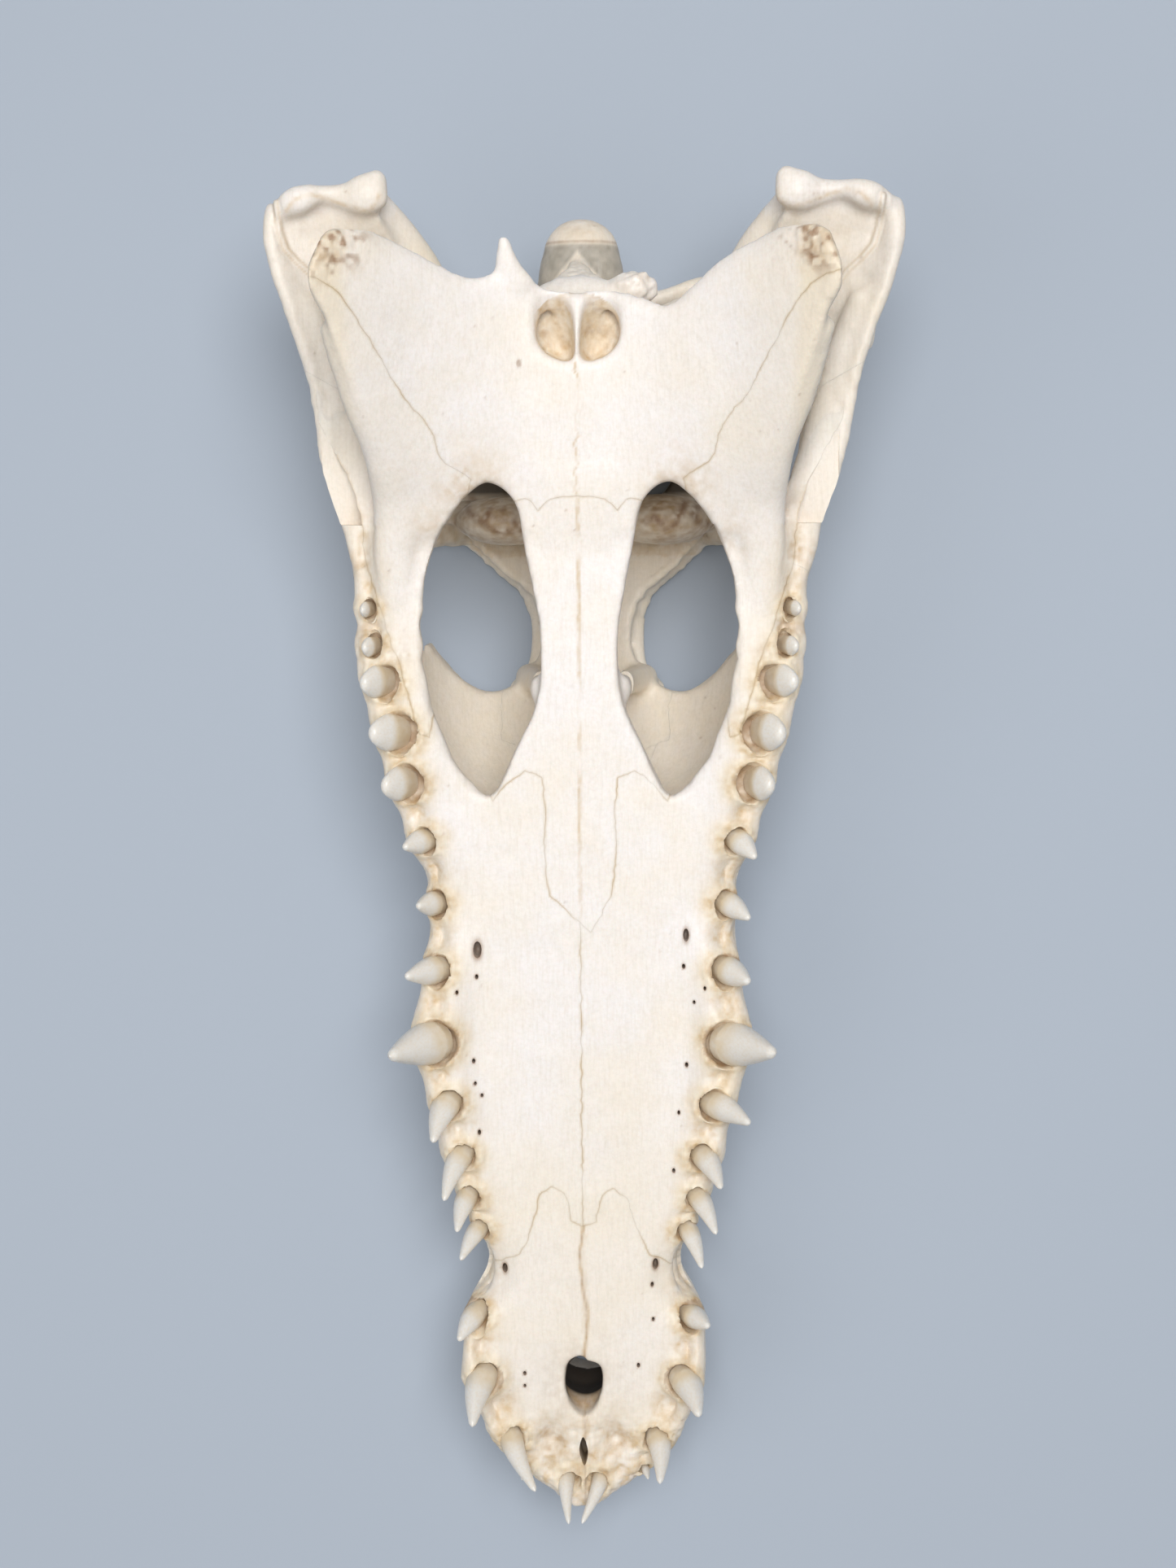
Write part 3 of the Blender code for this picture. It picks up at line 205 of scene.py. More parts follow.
# Bars of one side, each as (path, half width, half height, which way is up).
SIDE_BARS = [
    # Behind the orbit.
    ([(65, 296, -22), (61, 295, -36), (54, 294.5, -54), (46, 296, -70), (42, 297, -80)],
     [(0, 3), (0.25, 3.6), (0.6, 3.8), (1, 7)], [(0, 9), (0.25, 5), (0.6, 4), (1, 6)], UPRIGHT),
    # From the cheek up the front of the wing.
    ([(52, 272, -5), (53, 290, -3.5), (51.5, 306, 0), (54, 320, 9), (60.5, 337, 20), (65.5, 354, 29.5)],
     [(0, 5), (0.4, 7.4), (0.6, 6), (1, 4)], [(0, 3), (0.4, 6), (0.7, 5), (1, 4)], FLAT),
    # Into the jaw joint.
    ([(42, 358, -46), (56, 376, -35), (69, 387, -26)],
     [(0, 8), (0.7, 13), (1, 15)], [(0, 5), (1, 6)], FLAT),
    # Across the jaw joint, as a roller that is narrow in its middle.
    ([(86, 390.6, -16), (81, 392.6, -14.5), (74.5, 394.4, -16.5), (67.5, 393.6, -17), (61, 394.2, -15),
      (57.6, 395, -15.5)],
     [(0, 3.4), (0.18, 4.3), (0.42, 2.6), (0.62, 3.8), (0.85, 6.0), (1, 4.8)],
     [(0, 4.0), (0.2, 4.6), (0.45, 3.8), (0.85, 4.4), (1, 3.6)], FLAT),
    # The rounded lower face of the cheek bar.
    ([(58.5, 280, -12), (62, 300, -14), (67.5, 314, -16.5), (71, 330, -18.5), (75.5, 348, -20),
      (81.5, 364, -20)],
     [(0, 5), (0.25, 6.8), (0.5, 5.8), (1, 4.5)], [(0, 5), (0.25, 6), (1, 5)], FLAT),
    # The pillar in front of the orbit.
    ([(12, 252, -8), (13, 251, -35), (18, 250, -64)],
     [(0, 3), (0.5, 2.6), (1, 5)], [(0, 4), (1, 4.5)], UPRIGHT),
    # The raised inner rim of the orbit.
    ([(23, 246, -66), (17, 252, -71), (15.5, 264, -74.5), (18, 275, -76.8), (27, 284, -78.8),
      (36, 292, -80)],
     [(0, 2.5), (1, 3)], [(0, 2.5), (1, 3)], FLAT),
]
# Rounded forms of one side, as (middle, radii): the peak of the jaw joint, the corner of the table, the wall
# behind the orbit with its inner end, and the place where the bridge leaves the cheek bar.
SIDE_KNOBS = [
    ((58.8, 397.2, -15.5), (3.5, 4.1, 3.8)),
    ((47, 354, -76), (6, 9, 5)),
    ((24, 300, -56), (17, 8, 17)),
    ((11, 301, -58), (11, 7, 13)),
    ((64.5, 302, -13.5), (6, 9, 6.5)),
]
# The bridge from the cheek to the wing, which reaches further back on the left.
BRIDGE_START = [(56.5, 266, -8), (59, 282, -8), (61.5, 294, -9)]
BRIDGE_END_LEFT = (68, 330, -16)
BRIDGE_END_RIGHT = (66, 306, -12)
BRIDGE_HALF_WIDTH = [(0, 4), (0.35, 6.2), (0.7, 8), (1, 5)]
BRIDGE_HALF_HEIGHT = [(0, 4), (1, 5)]

CASE_HALF_WIDTH = [(296, 5), (305, 7), (320, 9), (340, 15), (358, 20), (372, 14)]
CASE_UNDERSIDE = [(296, -64), (310, -50), (325, -38), (345, -28), (362, -28), (372, -34)]
CASE_TOP = -78.0
# Bars in the middle: behind the neck's knob, the plate under it and the column up to the palate.
MIDDLE_BARS = [
    ([(0, 356, -44), (0, 378, -42)], [(0, 17), (0.5, 13), (1, 11)], [(0, 13), (1, 7.5)], FLAT),
    ([(-1, 375.5, -35), (-0.5, 371.5, -24), (0, 366, -12), (0, 361, 0)],
     [(0, 1.6), (0.3, 4.6), (0.6, 9.5), (0.85, 10), (1, 8)], [(0, 2.6), (0.6, 3.2), (1, 3)], (0, -1, 0)),
    ([(0, 338, -34), (0, 347, -16), (0, 350, 2)],
     [(0, 15), (0.5, 9), (1, 9)], [(0, 15), (1, 10)], (0, -1, 0)),
]
NECK_KNOBS = [((-0.3, 371.5, -42), (13.2, 16.5, 11)), ((-0.2, 378.6, -42), (11.6, 11.3, 9.8))]
CORD_OPENING = ((0, 368, -58.5), (7.5, 14, 5.8))
BACK_HOLLOW = ((21, 374, -66), (11, 9, 8))
# The opening at the back of the palate, a scoop on each side of a thin wall, as (distance back, value).
CHOANA_MIDDLE = 0.3
CHOANA_HALF_WIDTH = [(345.7, 4), (347, 8), (349.5, 10.8), (353, 12.2), (358, 12.4), (362, 12.8), (369, 13.5)]
CHOANA_DEPTH = [(345.7, 8), (348, 9.5), (352, 9.5), (356, 7.5), (360, 4.6), (364, 2.4), (369, 0.8)]
CHOANA_WALL = 0.55
CHOANA_CLEARANCE = 14.0
CHOANA_BACKING = ((0.5, 356, -7), (18.5, 14.5, 8))
# The rough stump of broken bone beside the neck's knob, as (middle, radii).
BROKEN_LUMP = ((15.5, 366.0, -5.0), (7.0, 5.2, 5.0))
SPUR = [(-17.5, 366, 7), (-19.2, 373, 9.5), (-20, 379, 11)]
SPUR_HALF_WIDTH = [(0, 6.5), (0.5, 3.4), (1, 1.8)]
SPUR_HALF_HEIGHT = [(0, 3), (1, 1.6)]

# The outline of the opening in the front of the palate, the slit before it, and the way through to the
# nostrils as (height, half width, front, back).
INCISIVE = [
    (-0.1, 53), (-1, 50), (-4.4, 48), (-5.5, 44), (-5.4, 39), (-4.3, 35), (-2.4, 31.8), (0, 30.2),
    (2.4, 31.6), (4.3, 35), (5.6, 40), (5.7, 44.5), (4.4, 47), (1, 48),
]
FRONT_SLIT = [(-0.3, 24), (-1.5, 20), (-0.8, 16), (0, 14.5), (0.9, 16.5), (1.1, 20)]
NOSTRIL = [
    (-3, 5.6, 30.5, 47.5), (-8, 7, 33.5, 48), (-18, 9.5, 31, 50), (-26, 10.5, 29, 50), (-34, 11, 31, 50),
    (-50, 12, 32, 51),
]
AIRWAY = [(0, 42, -21), (0, 60, -20), (0, 80, -18)]
AIRWAY_HALF_SIZE = [(0, 8), (1, 6)]
NOSTRIL_RIM = (41.5, -38.5)
NOSTRIL_RIM_REACH = (13.5, 12.0)
NOSTRIL_RIM_SIZE = (3.6, 3.4)

# Teeth from the front back: distance back, distance from the middle, width, crown, and how far the tip
# leans outwards and forwards on the left and on the right.
TEETH = [
    (10.5, 4.6, 5.6, 14.0, (-0.2, 9.4), (-5.0, 9.2)),
    (13.0, 18.0, 2.6, 4.0, (1.0, 2.7), (1.5, 1.9)),
    (23.0, 21.7, 7.4, 15.0, (-7.6, 9.2), (1.4, 6.3)),
    (43.2, 30.0, 9.0, 15.0, (2.3, 7.3), (4.6, 3.4)),
    (61.9, 32.4, 7.0, 9.0, (4.6, 3.9), (5.2, -1.2)),
    (88.8, 31.0, 6.0, 11.0, (4.9, 5.1), (4.6, 7.1)),
    (99.5, 34.0, 6.6, 12.0, (2.7, 6.2), (5.7, 6.4)),
    (112.7, 35.6, 7.4, 14.0, (4.4, 8.6), (5.4, 4.4)),
    (129.2, 39.4, 8.4, 14.0, (3.3, 6.7), (9.7, 0.6)),
    (148.5, 43.6, 13.0, 19.0, (10.1, -1.7), (12.1, -3.0)),
    (169.7, 42.6, 8.4, 11.0, (7.6, -1.0), (6.2, 0.3)),
    (189.0, 42.8, 7.2, 9.0, (4.2, -1.4), (6.3, 2.2)),
    (208.2, 45.6, 7.2, 8.0, (5.0, 0.4), (5.1, 3.4)),
    (225.5, 51.3, 9.8, 7.0, (4.9, -0.2), (3.9, -0.4)),
    (240.4, 53.6, 10.6, 7.0, (6.0, -0.8), (4.8, -0.5)),
    (255.2, 57.4, 9.2, 6.5, (4.6, 0.0), (4.7, -0.3)),
    (265.1, 60.0, 5.6, 4.5, (1.8, -0.1), (2.5, -0.1)),
    (275.8, 61.3, 4.4, 4.0, (1.1, -0.1), (2.0, 0.0)),
]
ROOT_DEPTH = 5.0
ROOT_SLANT = np.array([0.4, 0.4, 1.0])
LAST_FRONT_TOOTH = 70.0

# Sutures between the bones, as (across, back) or (back, height).
FRONT_SUTURE = [
    (60, 77), (29, 77), (20, 82), (18.1, 86.5), (15.7, 92), (13.5, 99.5), (9.2, 102.8), (6, 100.5),
    (4.8, 96), (4.2, 92.2), (-0.2, 90.8), (-3.6, 92.6), (-4.2, 98), (-5.6, 101.2), (-9.3, 103.2),
    (-12.9, 100.6), (-14.8, 93), (-16.5, 86.5), (-19, 82), (-29, 77), (-60, 77), (-60, -20), (60, -20),
]
PALATINE_SUTURE = [
    (3, 181), (9, 192), (10.5, 205), (10, 217), (11, 227), (16, 229), (21.5, 225), (25.5, 220), (29, 230),
    (30, 292), (19, 306.5), (15, 307.5), (13.6, 307), (11.3, 304), (9.5, 306), (7.6, 307.3), (4, 308),
    (0, 308.2),
]
WING_SUTURE = [
    (30, 313), (33.5, 315.5), (37, 317.5), (38.7, 320), (39.6, 325), (42.4, 330), (46.7, 335), (49, 339),
    (51, 343), (53.2, 347.5), (56, 352.6), (57.6, 356), (60.2, 360), (63, 363.6), (67, 366), (76, 368),
    (76, 330), (66, 312), (63, 303), (62, 290), (58.4, 279), (55.8, 270), (51.6, 260), (50.4, 254),
    (48.2, 247), (46.2, 240), (43.5, 239), (42, 250), (40, 270), (37, 290),
]
WING_REGION = [(75, 379), (75, 300), (34, 300), (-34, 300), (-75, 300), (-75, 379)]
NASAL_HALF_WIDTH = [(50, 3), (62, 6.5), (90, 8.5), (130, 10), (180, 10.5), (215, 8.5), (229, 4)]
NASAL_THICKNESS = 8.0
FRONTAL_REGION = [(-26, 232), (0, 222), (26, 232), (27, 262), (42, 291.5), (-42, 291.5), (-27, 262)]
LACRIMAL_REGION = [(24, 214), (34, 206), (52, 214), (66, 236), (70, 262), (24, 262), (23, 232), (18, 222)]
JUGAL_REGION = [
    (384, 14), (384, -47), (308, -47), (306, -71.5), (282, -71.5), (280, -47), (262, -38), (240, -34),
    (222, -32), (230, -21), (262, -14), (297, -9), (306, 14),
]
JUGAL_INNER = 42.0
JUGAL_LEAN = 0.5
TABLE_REGION = [(70, 270), (70, 390)]
TABLE_UNDERSIDE = -72.0
FACE_END = 310.0
PALATINE_TOP = -17.0
WING_TOP = -12.0
FRONTAL_DEPTH = -30.0
LACRIMAL_DEPTH = -34.0
CASE_REGION = [(56, 286), (56, 340), (66, 345), (66, 420)]
QUADRATE_REGION = [(0, 306), (0, 412), (118, 412), (118, 353), (84, 347), (70, 339), (64, 326), (60, 306)]
QUADRATE_INNER = [(-58, 54), (-42, 27), (20, 25)]
# The first blunt tooth and the first small one of each row, counted from 0, and how teeth narrow towards the
# tip, as (share of the crown, share of the width).
FIRST_BLUNT = 13
FIRST_SMALL = 16
SHARP_TOOTH = [(0, 1.0), (0.2, 0.92), (0.45, 0.75), (0.7, 0.53), (0.86, 0.36), (0.95, 0.25), (1.0, 0.06)]
BLUNT_TOOTH = [
    (0, 1.0), (0.2, 0.96), (0.4, 0.87), (0.6, 0.74), (0.78, 0.59), (0.9, 0.44), (0.97, 0.27), (1.0, 0.06),
]
# How far a blunt tooth is flattened from side to side, and the ridge before and behind each tooth.
BLUNT_THINNESS = 0.68
KEEL_HEIGHT = 0.05
KEEL_SHARPNESS = 12
# The points round a tooth and round a socket.
TOOTH_POINTS = 36
SOCKET_POINTS = 18
# The room round a tooth in its socket, how much wider a blunt tooth's socket is, and how far inwards of its
# tooth a socket lies, as a share of the tooth's width.
SOCKET_ROOM = 0.3
SMALL_SOCKET_ROOM = 0.1
BLUNT_SOCKET = 1.04
BLUNT_INWARD = 0.13
SHARP_INWARD = 0.04
# How a socket widens, as (height over the gum, share of its width).
SOCKET_TAPER = ((-4.2, 0.55), (-2.2, 0.85), (0.0, 1.0), (6.0, 1.25))

# Small holes in the palate, each as (across, back, half width, half length), and how deep they reach.
FORAMEN_DEPTH = 3.4
FORAMINA = [
    (-30.5, 175.8, 1.3, 2.6), (-30.8, 167.7, 0.5, 0.77), (-36.5, 163.5, 0.43, 0.68),
    (-32.0, 142.2, 0.5, 0.77), (-31.6, 135.4, 0.43, 0.59), (-29.7, 131.6, 0.43, 0.59),
    (-30.6, 120.3, 0.5, 0.85), (-23.7, 76.7, 0.85, 1.7), (-17.9, 44.2, 0.5, 0.68), (-17.9, 40.2, 0.43, 0.59),
    (30.9, 180.3, 0.9, 2.0), (30.2, 171.0, 0.5, 0.77), (36.4, 164.9, 0.43, 0.68), (33.3, 160.4, 0.43, 0.59),
    (31.1, 141.2, 0.5, 0.77), (28.8, 126.5, 0.43, 0.68), (27.3, 108.6, 0.5, 0.77), (21.8, 78.8, 0.9, 1.9),
    (20.8, 72.4, 0.5, 0.77), (21.1, 61.8, 0.43, 0.68), (16.6, 47.1, 0.5, 0.77), (-16, 345, 0.45, 0.9),
]

# Sutures inside one bone's node, each as (points, how far it wanders).
INNER_SUTURES = [
    ([(-0.4, 345), (0.2, 332), (-0.3, 320), (0, 308)], 1.1),
    ([(0, 308), (0.3, 270), (0, 230), (0, 184)], 0.35),
    ([(0.2, 90), (0.6, 78), (1.2, 70), (1.8, 63), (1.1, 57)], 0.5),
    ([(1.1, 30), (1.4, 22), (1.3, 10)], 0.3),
]
SUTURE_STEP = 0.9
# How far from a line, from the gum's height and between two teeth things still count.
NEAR_LINE = 2.5
NEAR_GUM = 9
LEAST_ROOM = 3.5

# Hollows at the front of the palate, each as (across, back, half width, half length, depth), and the open
# groove that the last teeth stand in.
FRONT_HOLLOWS = [
    (-10.2, 22.5, 5.5, 7, 3.6), (9.5, 22.5, 6.0, 6.5, 3.6), (-10.5, 12.5, 3.2, 3.2, 1.0),
    (10.5, 13, 3.2, 3, 0.8), (-25.5, 33.5, 4, 4.5, 1.6), (25, 34, 4, 4.5, 1.6), (-31, 53, 3.4, 4, 1.4),
    (31, 53, 3.4, 4, 1.4), (-1, 14, 1.4, 7, 0.8),
]
REAR_GROOVE = [(60.5, 268), (62.5, 280), (64, 292)]
FISSURE = [(0.1, 49), (1.1, 58), (1.2, 64), (-0.2, 72), (-1.0, 82), (-0.2, 88), (0.3, 91)]
FRONT_CRACK = [(0, 31), (0.3, 24), (0.1, 15), (0.4, 9), (0.1, 3)]
JOINT_RIDGE = [(86.8, 392), (86, 384), (84.5, 379), (81.5, 375.5), (77.6, 372), (73, 366)]
JOINT_BORDER = [
    (56.6, 393.6), (57.4, 391.3), (59.7, 389.1), (62.5, 389.4), (67.1, 391.0), (71.8, 392.8), (76.4, 393.8),
    (80.6, 392.3), (83.5, 389.4),
]
BROKEN_PLACE = (18, 369, -4)
# Where specks lie on the right jaw joint, and the stains on the wall behind the openings of the palate.
RIGHT_JOINT = [(78, 392, -12), (84, 389, -13), (87, 391, -16), (70, 393, -12)]
WALL_STAINS = [
    [(-37, 306), (-35, 302.5), (-31, 300), (-27.5, 297.5), (-22, 297)], [(-28.5, 303.5), (-30.5, 299.5)],
    [(-21, 300), (-19, 297.5)], [(36, 306), (33.5, 302), (35, 299.5), (39, 298.5)],
    [(31, 305), (28, 299), (25, 297.5)], [(19, 299.5), (21.5, 301), (24, 299)],
]
NECK_BASE = (0, 369, -22)
WING_TIPS = [(-65, 372, 40), (-60, 375.5, 37), (66, 373, 40), (60.5, 376, 36.5)]
# Where brown has soaked in, each as (place, reach, amount); the three in the middle at the front are painted
# shade instead, deep in the way through to the nostrils and in the slit. Behind the front, tan reaches out
# round it.
BEHIND_FRONT = 60
BROWN_STAIN_AND_SHADE_PLACES = [
    ((-65, 373, 40), 5, 0.5), ((65, 374, 39), 5, 0.5), ((-74, 370, 22), 4, 0.5), ((74, 370, 22), 4, 0.45),
    ((-30, 311, -4), 7, 0.75), ((30, 312, -4), 7, 0.75), ((-42, 300, -6), 6, 0.45), ((43, 299, -6), 6, 0.4),
    ((-38, 352, 4), 5, 0.3), ((20, 371, 4), 5, 0.35), ((0, 386, -38), 5, 0.3), ((-52, 262, -2), 4, 0.5),
    ((55, 262, -2), 4, 0.5), ((-60, 300, -12), 7, 0.3), ((62, 300, -12), 7, 0.3), ((0, 43, -20), 13, 1.5),
    ((0, 36, -8), 6, 0.8), ((0, 19, -4), 3, 0.9), ((-24, 302, -45), 9, 0.9), ((24, 302, -45), 9, 0.9),
    ((-36, 298, -52), 8, 0.8), ((36, 298, -52), 8, 0.8), ((-60.5, 268, -6), 5, 0.6),
    ((60.5, 268, -6), 5, 0.6), ((-63, 290, -10), 6, 0.45), ((63, 290, -10), 6, 0.45),
    ((-10, 22, -4), 5, 0.5), ((9, 22, -4), 5, 0.4),
]
# Where varnish shines, each as (place, reach).
GLOSSY_PLACES = [
    ((-25.4, 96.8, 0), 5), ((-11.2, 34.5, -2), 5), ((13.6, 36.9, -2), 5), ((-23.8, 68, 0), 4),
    ((14, 372, 2), 6), ((-45, 366, 18), 6), ((48, 364, 18), 6),
]
NECK_BAND = (367, 382, -24)

# Colours in linear light.
IVORY = (0.85, 0.808, 0.782)
CREAM = (0.83, 0.73, 0.57)
PALE_CREAM = (0.85, 0.80, 0.755)
DEEP_CREAM = (0.82, 0.725, 0.58)
TAN_TONE = (0.62, 0.44, 0.23)
SHADOW_TONE = (0.60, 0.53, 0.42)
SUTURE_TONE = (0.56, 0.40, 0.21)
# Brown stain, also used as painted shade deep in the nostril passage, the slit and the sockets.
BROWN_STAIN_AND_SHADE_TONE = (0.29, 0.165, 0.09)
# Painted shade: near black, laid into the holes, the slit and the deep recesses where little light reaches.
PAINTED_SHADE_TONE = (0.045, 0.03, 0.02)
GREY_TONE = (0.25, 0.232, 0.195)
ENAMEL_TONE = (0.74, 0.715, 0.67)
MILKY_TONE = (0.80, 0.79, 0.77)
ROOT_TONE = (0.66, 0.55, 0.39)
FLOOR_TONE = (0.40, 0.45, 0.52)
CREAM_BONES = ("ecto", "jugal", "quadrate", "braincase")
# The amounts painted on the bone: stained colour, sutures, gloss, and painted shade, which is all of the
# near-black amount and part of the brown one.
STAIN_AND_SHADE_LAYERS = ("brown", "tan", "cream", "suture", "gloss", "grey", "dark")

# Lamps as (name, place, size, power), with the world's even light round them.
WORLD_STRENGTH = 0.31
LIGHT_TARGET = (0, 0, 0.06)
FLOOR_REACH = 3.0
LIGHTS = [
    ("key", (0.15, 0.25, 1.5), 0.9, 18),
    ("fill", (-0.9, -0.5, 1.2), 1.2, 4),
]


def through(knots, at):
    """The value at a place, on a smooth curve through the knots that doesn't swing past them."""
    places, values = np.array(knots, float).T
    steps = np.diff(places)
    slopes = np.diff(values) / steps
    product = slopes[:-1] * slopes[1:]
    total = slopes[:-1] + slopes[1:]
    tangents = np.zeros(len(values))
    tangents[0] = slopes[0]
    tangents[-1] = slopes[-1]
    tangents[1:-1] = np.where(product > 0, 2 * product / np.where(total == 0, 1, total), 0)
    at = np.clip(at, places[0], places[-1])
    i = np.clip(np.searchsorted(places, at) - 1, 0, len(steps) - 1)
    t = (at - places[i]) / steps[i]
    rise = values[i + 1] * (3 - 2 * t) * t**2 + values[i] * (1 - (3 - 2 * t) * t**2)
    return rise + steps[i] * ((t**3 - 2 * t**2 + t) * tangents[i] + (t**3 - t**2) * tangents[i + 1])


def path_through(points, count):
    """Evenly counted points on a smooth open path through the given ones."""
    points = np.array(points, float)
    lengths = np.linalg.norm(np.diff(points, axis=0), axis=1)
    along = np.concatenate([[0], np.cumsum(lengths)]) / lengths.sum()
    at = np.linspace(0, 1, count)
    return np.stack([through(np.stack([along, points[:, k]], 1), at) for k in range(3)], 1)


def closed_curve(points, per_side=4):
    """A smooth closed outline through the points."""
    p = np.array(points, float)
    before, after, beyond = np.roll(p, 1, 0), np.roll(p, -1, 0), np.roll(p, -2, 0)
    found = []
    for k in range(per_side):
        t = k / per_side
        found.append(
            0.5 * (2 * p + (after - before) * t + (2 * before - 5 * p + 4 * after - beyond) * t**2
                   + (3 * p - before - 3 * after + beyond) * t**3)
        )
    return np.stack(found, 1).reshape(-1, p.shape[1])


def mirrored(points):
    return [(-x, y) for x, y in reversed(points)]


def circle(count, power=1.0):
    """The cosines and sines of even steps round a circle, which a power below 1 makes squarer."""
    angle = np.linspace(0, 2 * math.pi, count, endpoint=False)
    return [np.sign(v) * np.abs(v) ** power for v in (np.cos(angle), np.sin(angle))]


def placed_at(x, y, z):
    """Points from three coordinates, each a list or one number for all."""
    return np.stack(np.broadcast_arrays(x, y, z), 1)


def eased(t):
    return t**2 * (3 - 2 * t)


def ramp(value, start, run):
    """Grows from 0 at the start to 1 after the run."""
    return np.clip((value - start) / run, 0, 1)


def within(value, low, high):
    return (value > low) * (value < high)


def linked(name, data):
    obj = bpy.data.objects.new(name, data)
    bpy.context.scene.collection.objects.link(obj)
    return obj


def loft(name, rings):
    """A closed body skinned over rings of equal counts, with flat ends."""
    rings = np.array(rings, float)
    count, around = rings.shape[:2]
    faces = []
    for i in range(count - 1):
        for j in range(around):
            k = (j + 1) % around
            faces.append((i * around + j, i * around + k, (i + 1) * around + k, (i + 1) * around + j))
    faces += [tuple(range(around))[::-1], tuple((count - 1) * around + j for j in range(around))]
    mesh = bpy.data.meshes.new(name)
    mesh.from_pydata(rings.reshape(-1, 3).tolist(), [], faces)
    bm = bmesh.new()
    bm.from_mesh(mesh)
    bmesh.ops.recalc_face_normals(bm, faces=bm.faces)
    if bm.calc_volume(signed=True) < 0:
        bmesh.ops.reverse_faces(bm, faces=bm.faces)
    bm.to_mesh(mesh)
    bm.free()
    return linked(name, mesh)


def outlined(outline, grow=0.0):
    """The outline as an array, its sides moved out by grow and its corners held to a moderate reach."""
    p = np.array(outline, float)
    if not grow:
        return p
    area = np.sum(p[:, 0] * np.roll(p[:, 1], -1) - np.roll(p[:, 0], -1) * p[:, 1])
    ahead = np.roll(p, -1, 0) - p
    normal = np.stack([ahead[:, 1], -ahead[:, 0]], 1) / np.linalg.norm(ahead, axis=1)[:, None]
    if area < 0:
        normal = -normal
    corner = normal + np.roll(normal, 1, 0)
    reach = np.maximum(np.sum(corner * normal, axis=1), 0.5)
    return p + grow * corner / reach[:, None]


def prism(name, outline, low, high, grow=0.0):
    """An upright body over a flat outline, its sides and ends moved out by grow."""
    p = outlined(outline, grow)
    return loft(name, [placed_at(p[:, 0], p[:, 1], z) for z in (low - grow, high + grow)])


def sweep(name, path, wide, high, up=FLAT):
    """A bar along a path. wide and high are its half sizes as (share of the length, value)."""
    centres = path_through(path, SWEEP_RINGS)
    tangents = np.gradient(centres, axis=0)
    tangents /= np.linalg.norm(tangents, axis=1)[:, None]
    side = np.cross(np.array(up, float), tangents)
    side /= np.linalg.norm(side, axis=1)[:, None]
    over = np.cross(tangents, side)
    share = np.linspace(0, 1, SWEEP_RINGS)
    w, h = through(wide, share), through(high, share)
    c, s = circle(20, 2 / 2.4)

    def ring(i, shrink, shift):
        across = side[i] * (w[i] * shrink * c)[:, None]
        upright = over[i] * (h[i] * shrink * s)[:, None]
        return centres[i] + tangents[i] * shift + across + upright

    last = SWEEP_RINGS - 1
    turns = [math.radians(turn) for turn in (30, 60, 80)]
    rings = [ring(0, math.cos(a), -0.6 * min(w[0], h[0]) * math.sin(a)) for a in reversed(turns)]
    rings += [ring(i, 1, 0) for i in range(SWEEP_RINGS)]
    rings += [ring(last, math.cos(a), 0.6 * min(w[last], h[last]) * math.sin(a)) for a in turns]
    return loft(name, rings)


def sheet(name, edge_a, edge_b, thick):
    """A curved plate between two edges, each a list of points, with its thickness as (share, value)."""
    a, b = path_through(edge_a, SHEET_RINGS), path_through(edge_b, SHEET_RINGS)
    centres, halves = (a + b) / 2, (b - a) / 2
    normals = np.cross(halves, np.gradient(centres, axis=0))
    normals /= np.linalg.norm(normals, axis=1)[:, None]
    deep = through(thick, np.linspace(0, 1, SHEET_RINGS)) / 2
    c, s = circle(22, 2 / 2.6)
    return loft(name, [centre + half * c[:, None] + normal * (d * s)[:, None]
                       for centre, half, normal, d in zip(centres, halves, normals, deep)])


def ball(name, centre, radii, around=20, rows=12):
    c, s = circle(around)
    rings = []
    for turn in np.linspace(5, 175, rows):
        a = math.radians(turn)
        rings.append(placed_at(
            centre[0] + radii[0] * math.sin(a) * c,
            centre[1] + radii[1] * math.sin(a) * s,
            centre[2] + radii[2] * math.cos(a),
        ))
    return loft(name, rings)


def settled(obj):
    """The object with its modifiers applied."""
    graph = bpy.context.evaluated_depsgraph_get()
    mesh = bpy.data.meshes.new_from_object(obj.evaluated_get(graph))
    old = obj.data
    obj.modifiers.clear()
    obj.data = mesh
    mesh.name = obj.name
    bpy.data.meshes.remove(old)
    return obj


def removed(objects):
    for obj in objects:
        mesh = obj.data
        bpy.data.objects.remove(obj)
        bpy.data.meshes.remove(mesh)


def skinned(obj, voxel):
    remesh = obj.modifiers.new("skin", "REMESH")
    remesh.mode = "VOXEL"
    remesh.voxel_size = voxel
    return settled(obj)


def fused(name, objects, voxel):
    """One body made of the objects, by joining them and skinning the whole again."""
    bm = bmesh.new()
    for obj in objects:
        bm.from_mesh(obj.data)
    mesh = bpy.data.meshes.new(name)
    bm.to_mesh(mesh)
    bm.free()
    removed(objects)
    return skinned(linked(name, mesh), voxel)


def boolean(obj, others, operation="DIFFERENCE"):
    """The object cut by the others or kept inside them, which are then removed."""
    group = bpy.data.collections.new("operands")
    for other in others:
        group.objects.link(other)
    step = obj.modifiers.new("cut", "BOOLEAN")
    step.operation = operation
    step.solver = "MANIFOLD"
    step.operand_type = "COLLECTION"
    step.collection = group
    bpy.context.view_layer.update()
    settled(obj)
    removed(others)
    bpy.data.collections.remove(group)
    return obj


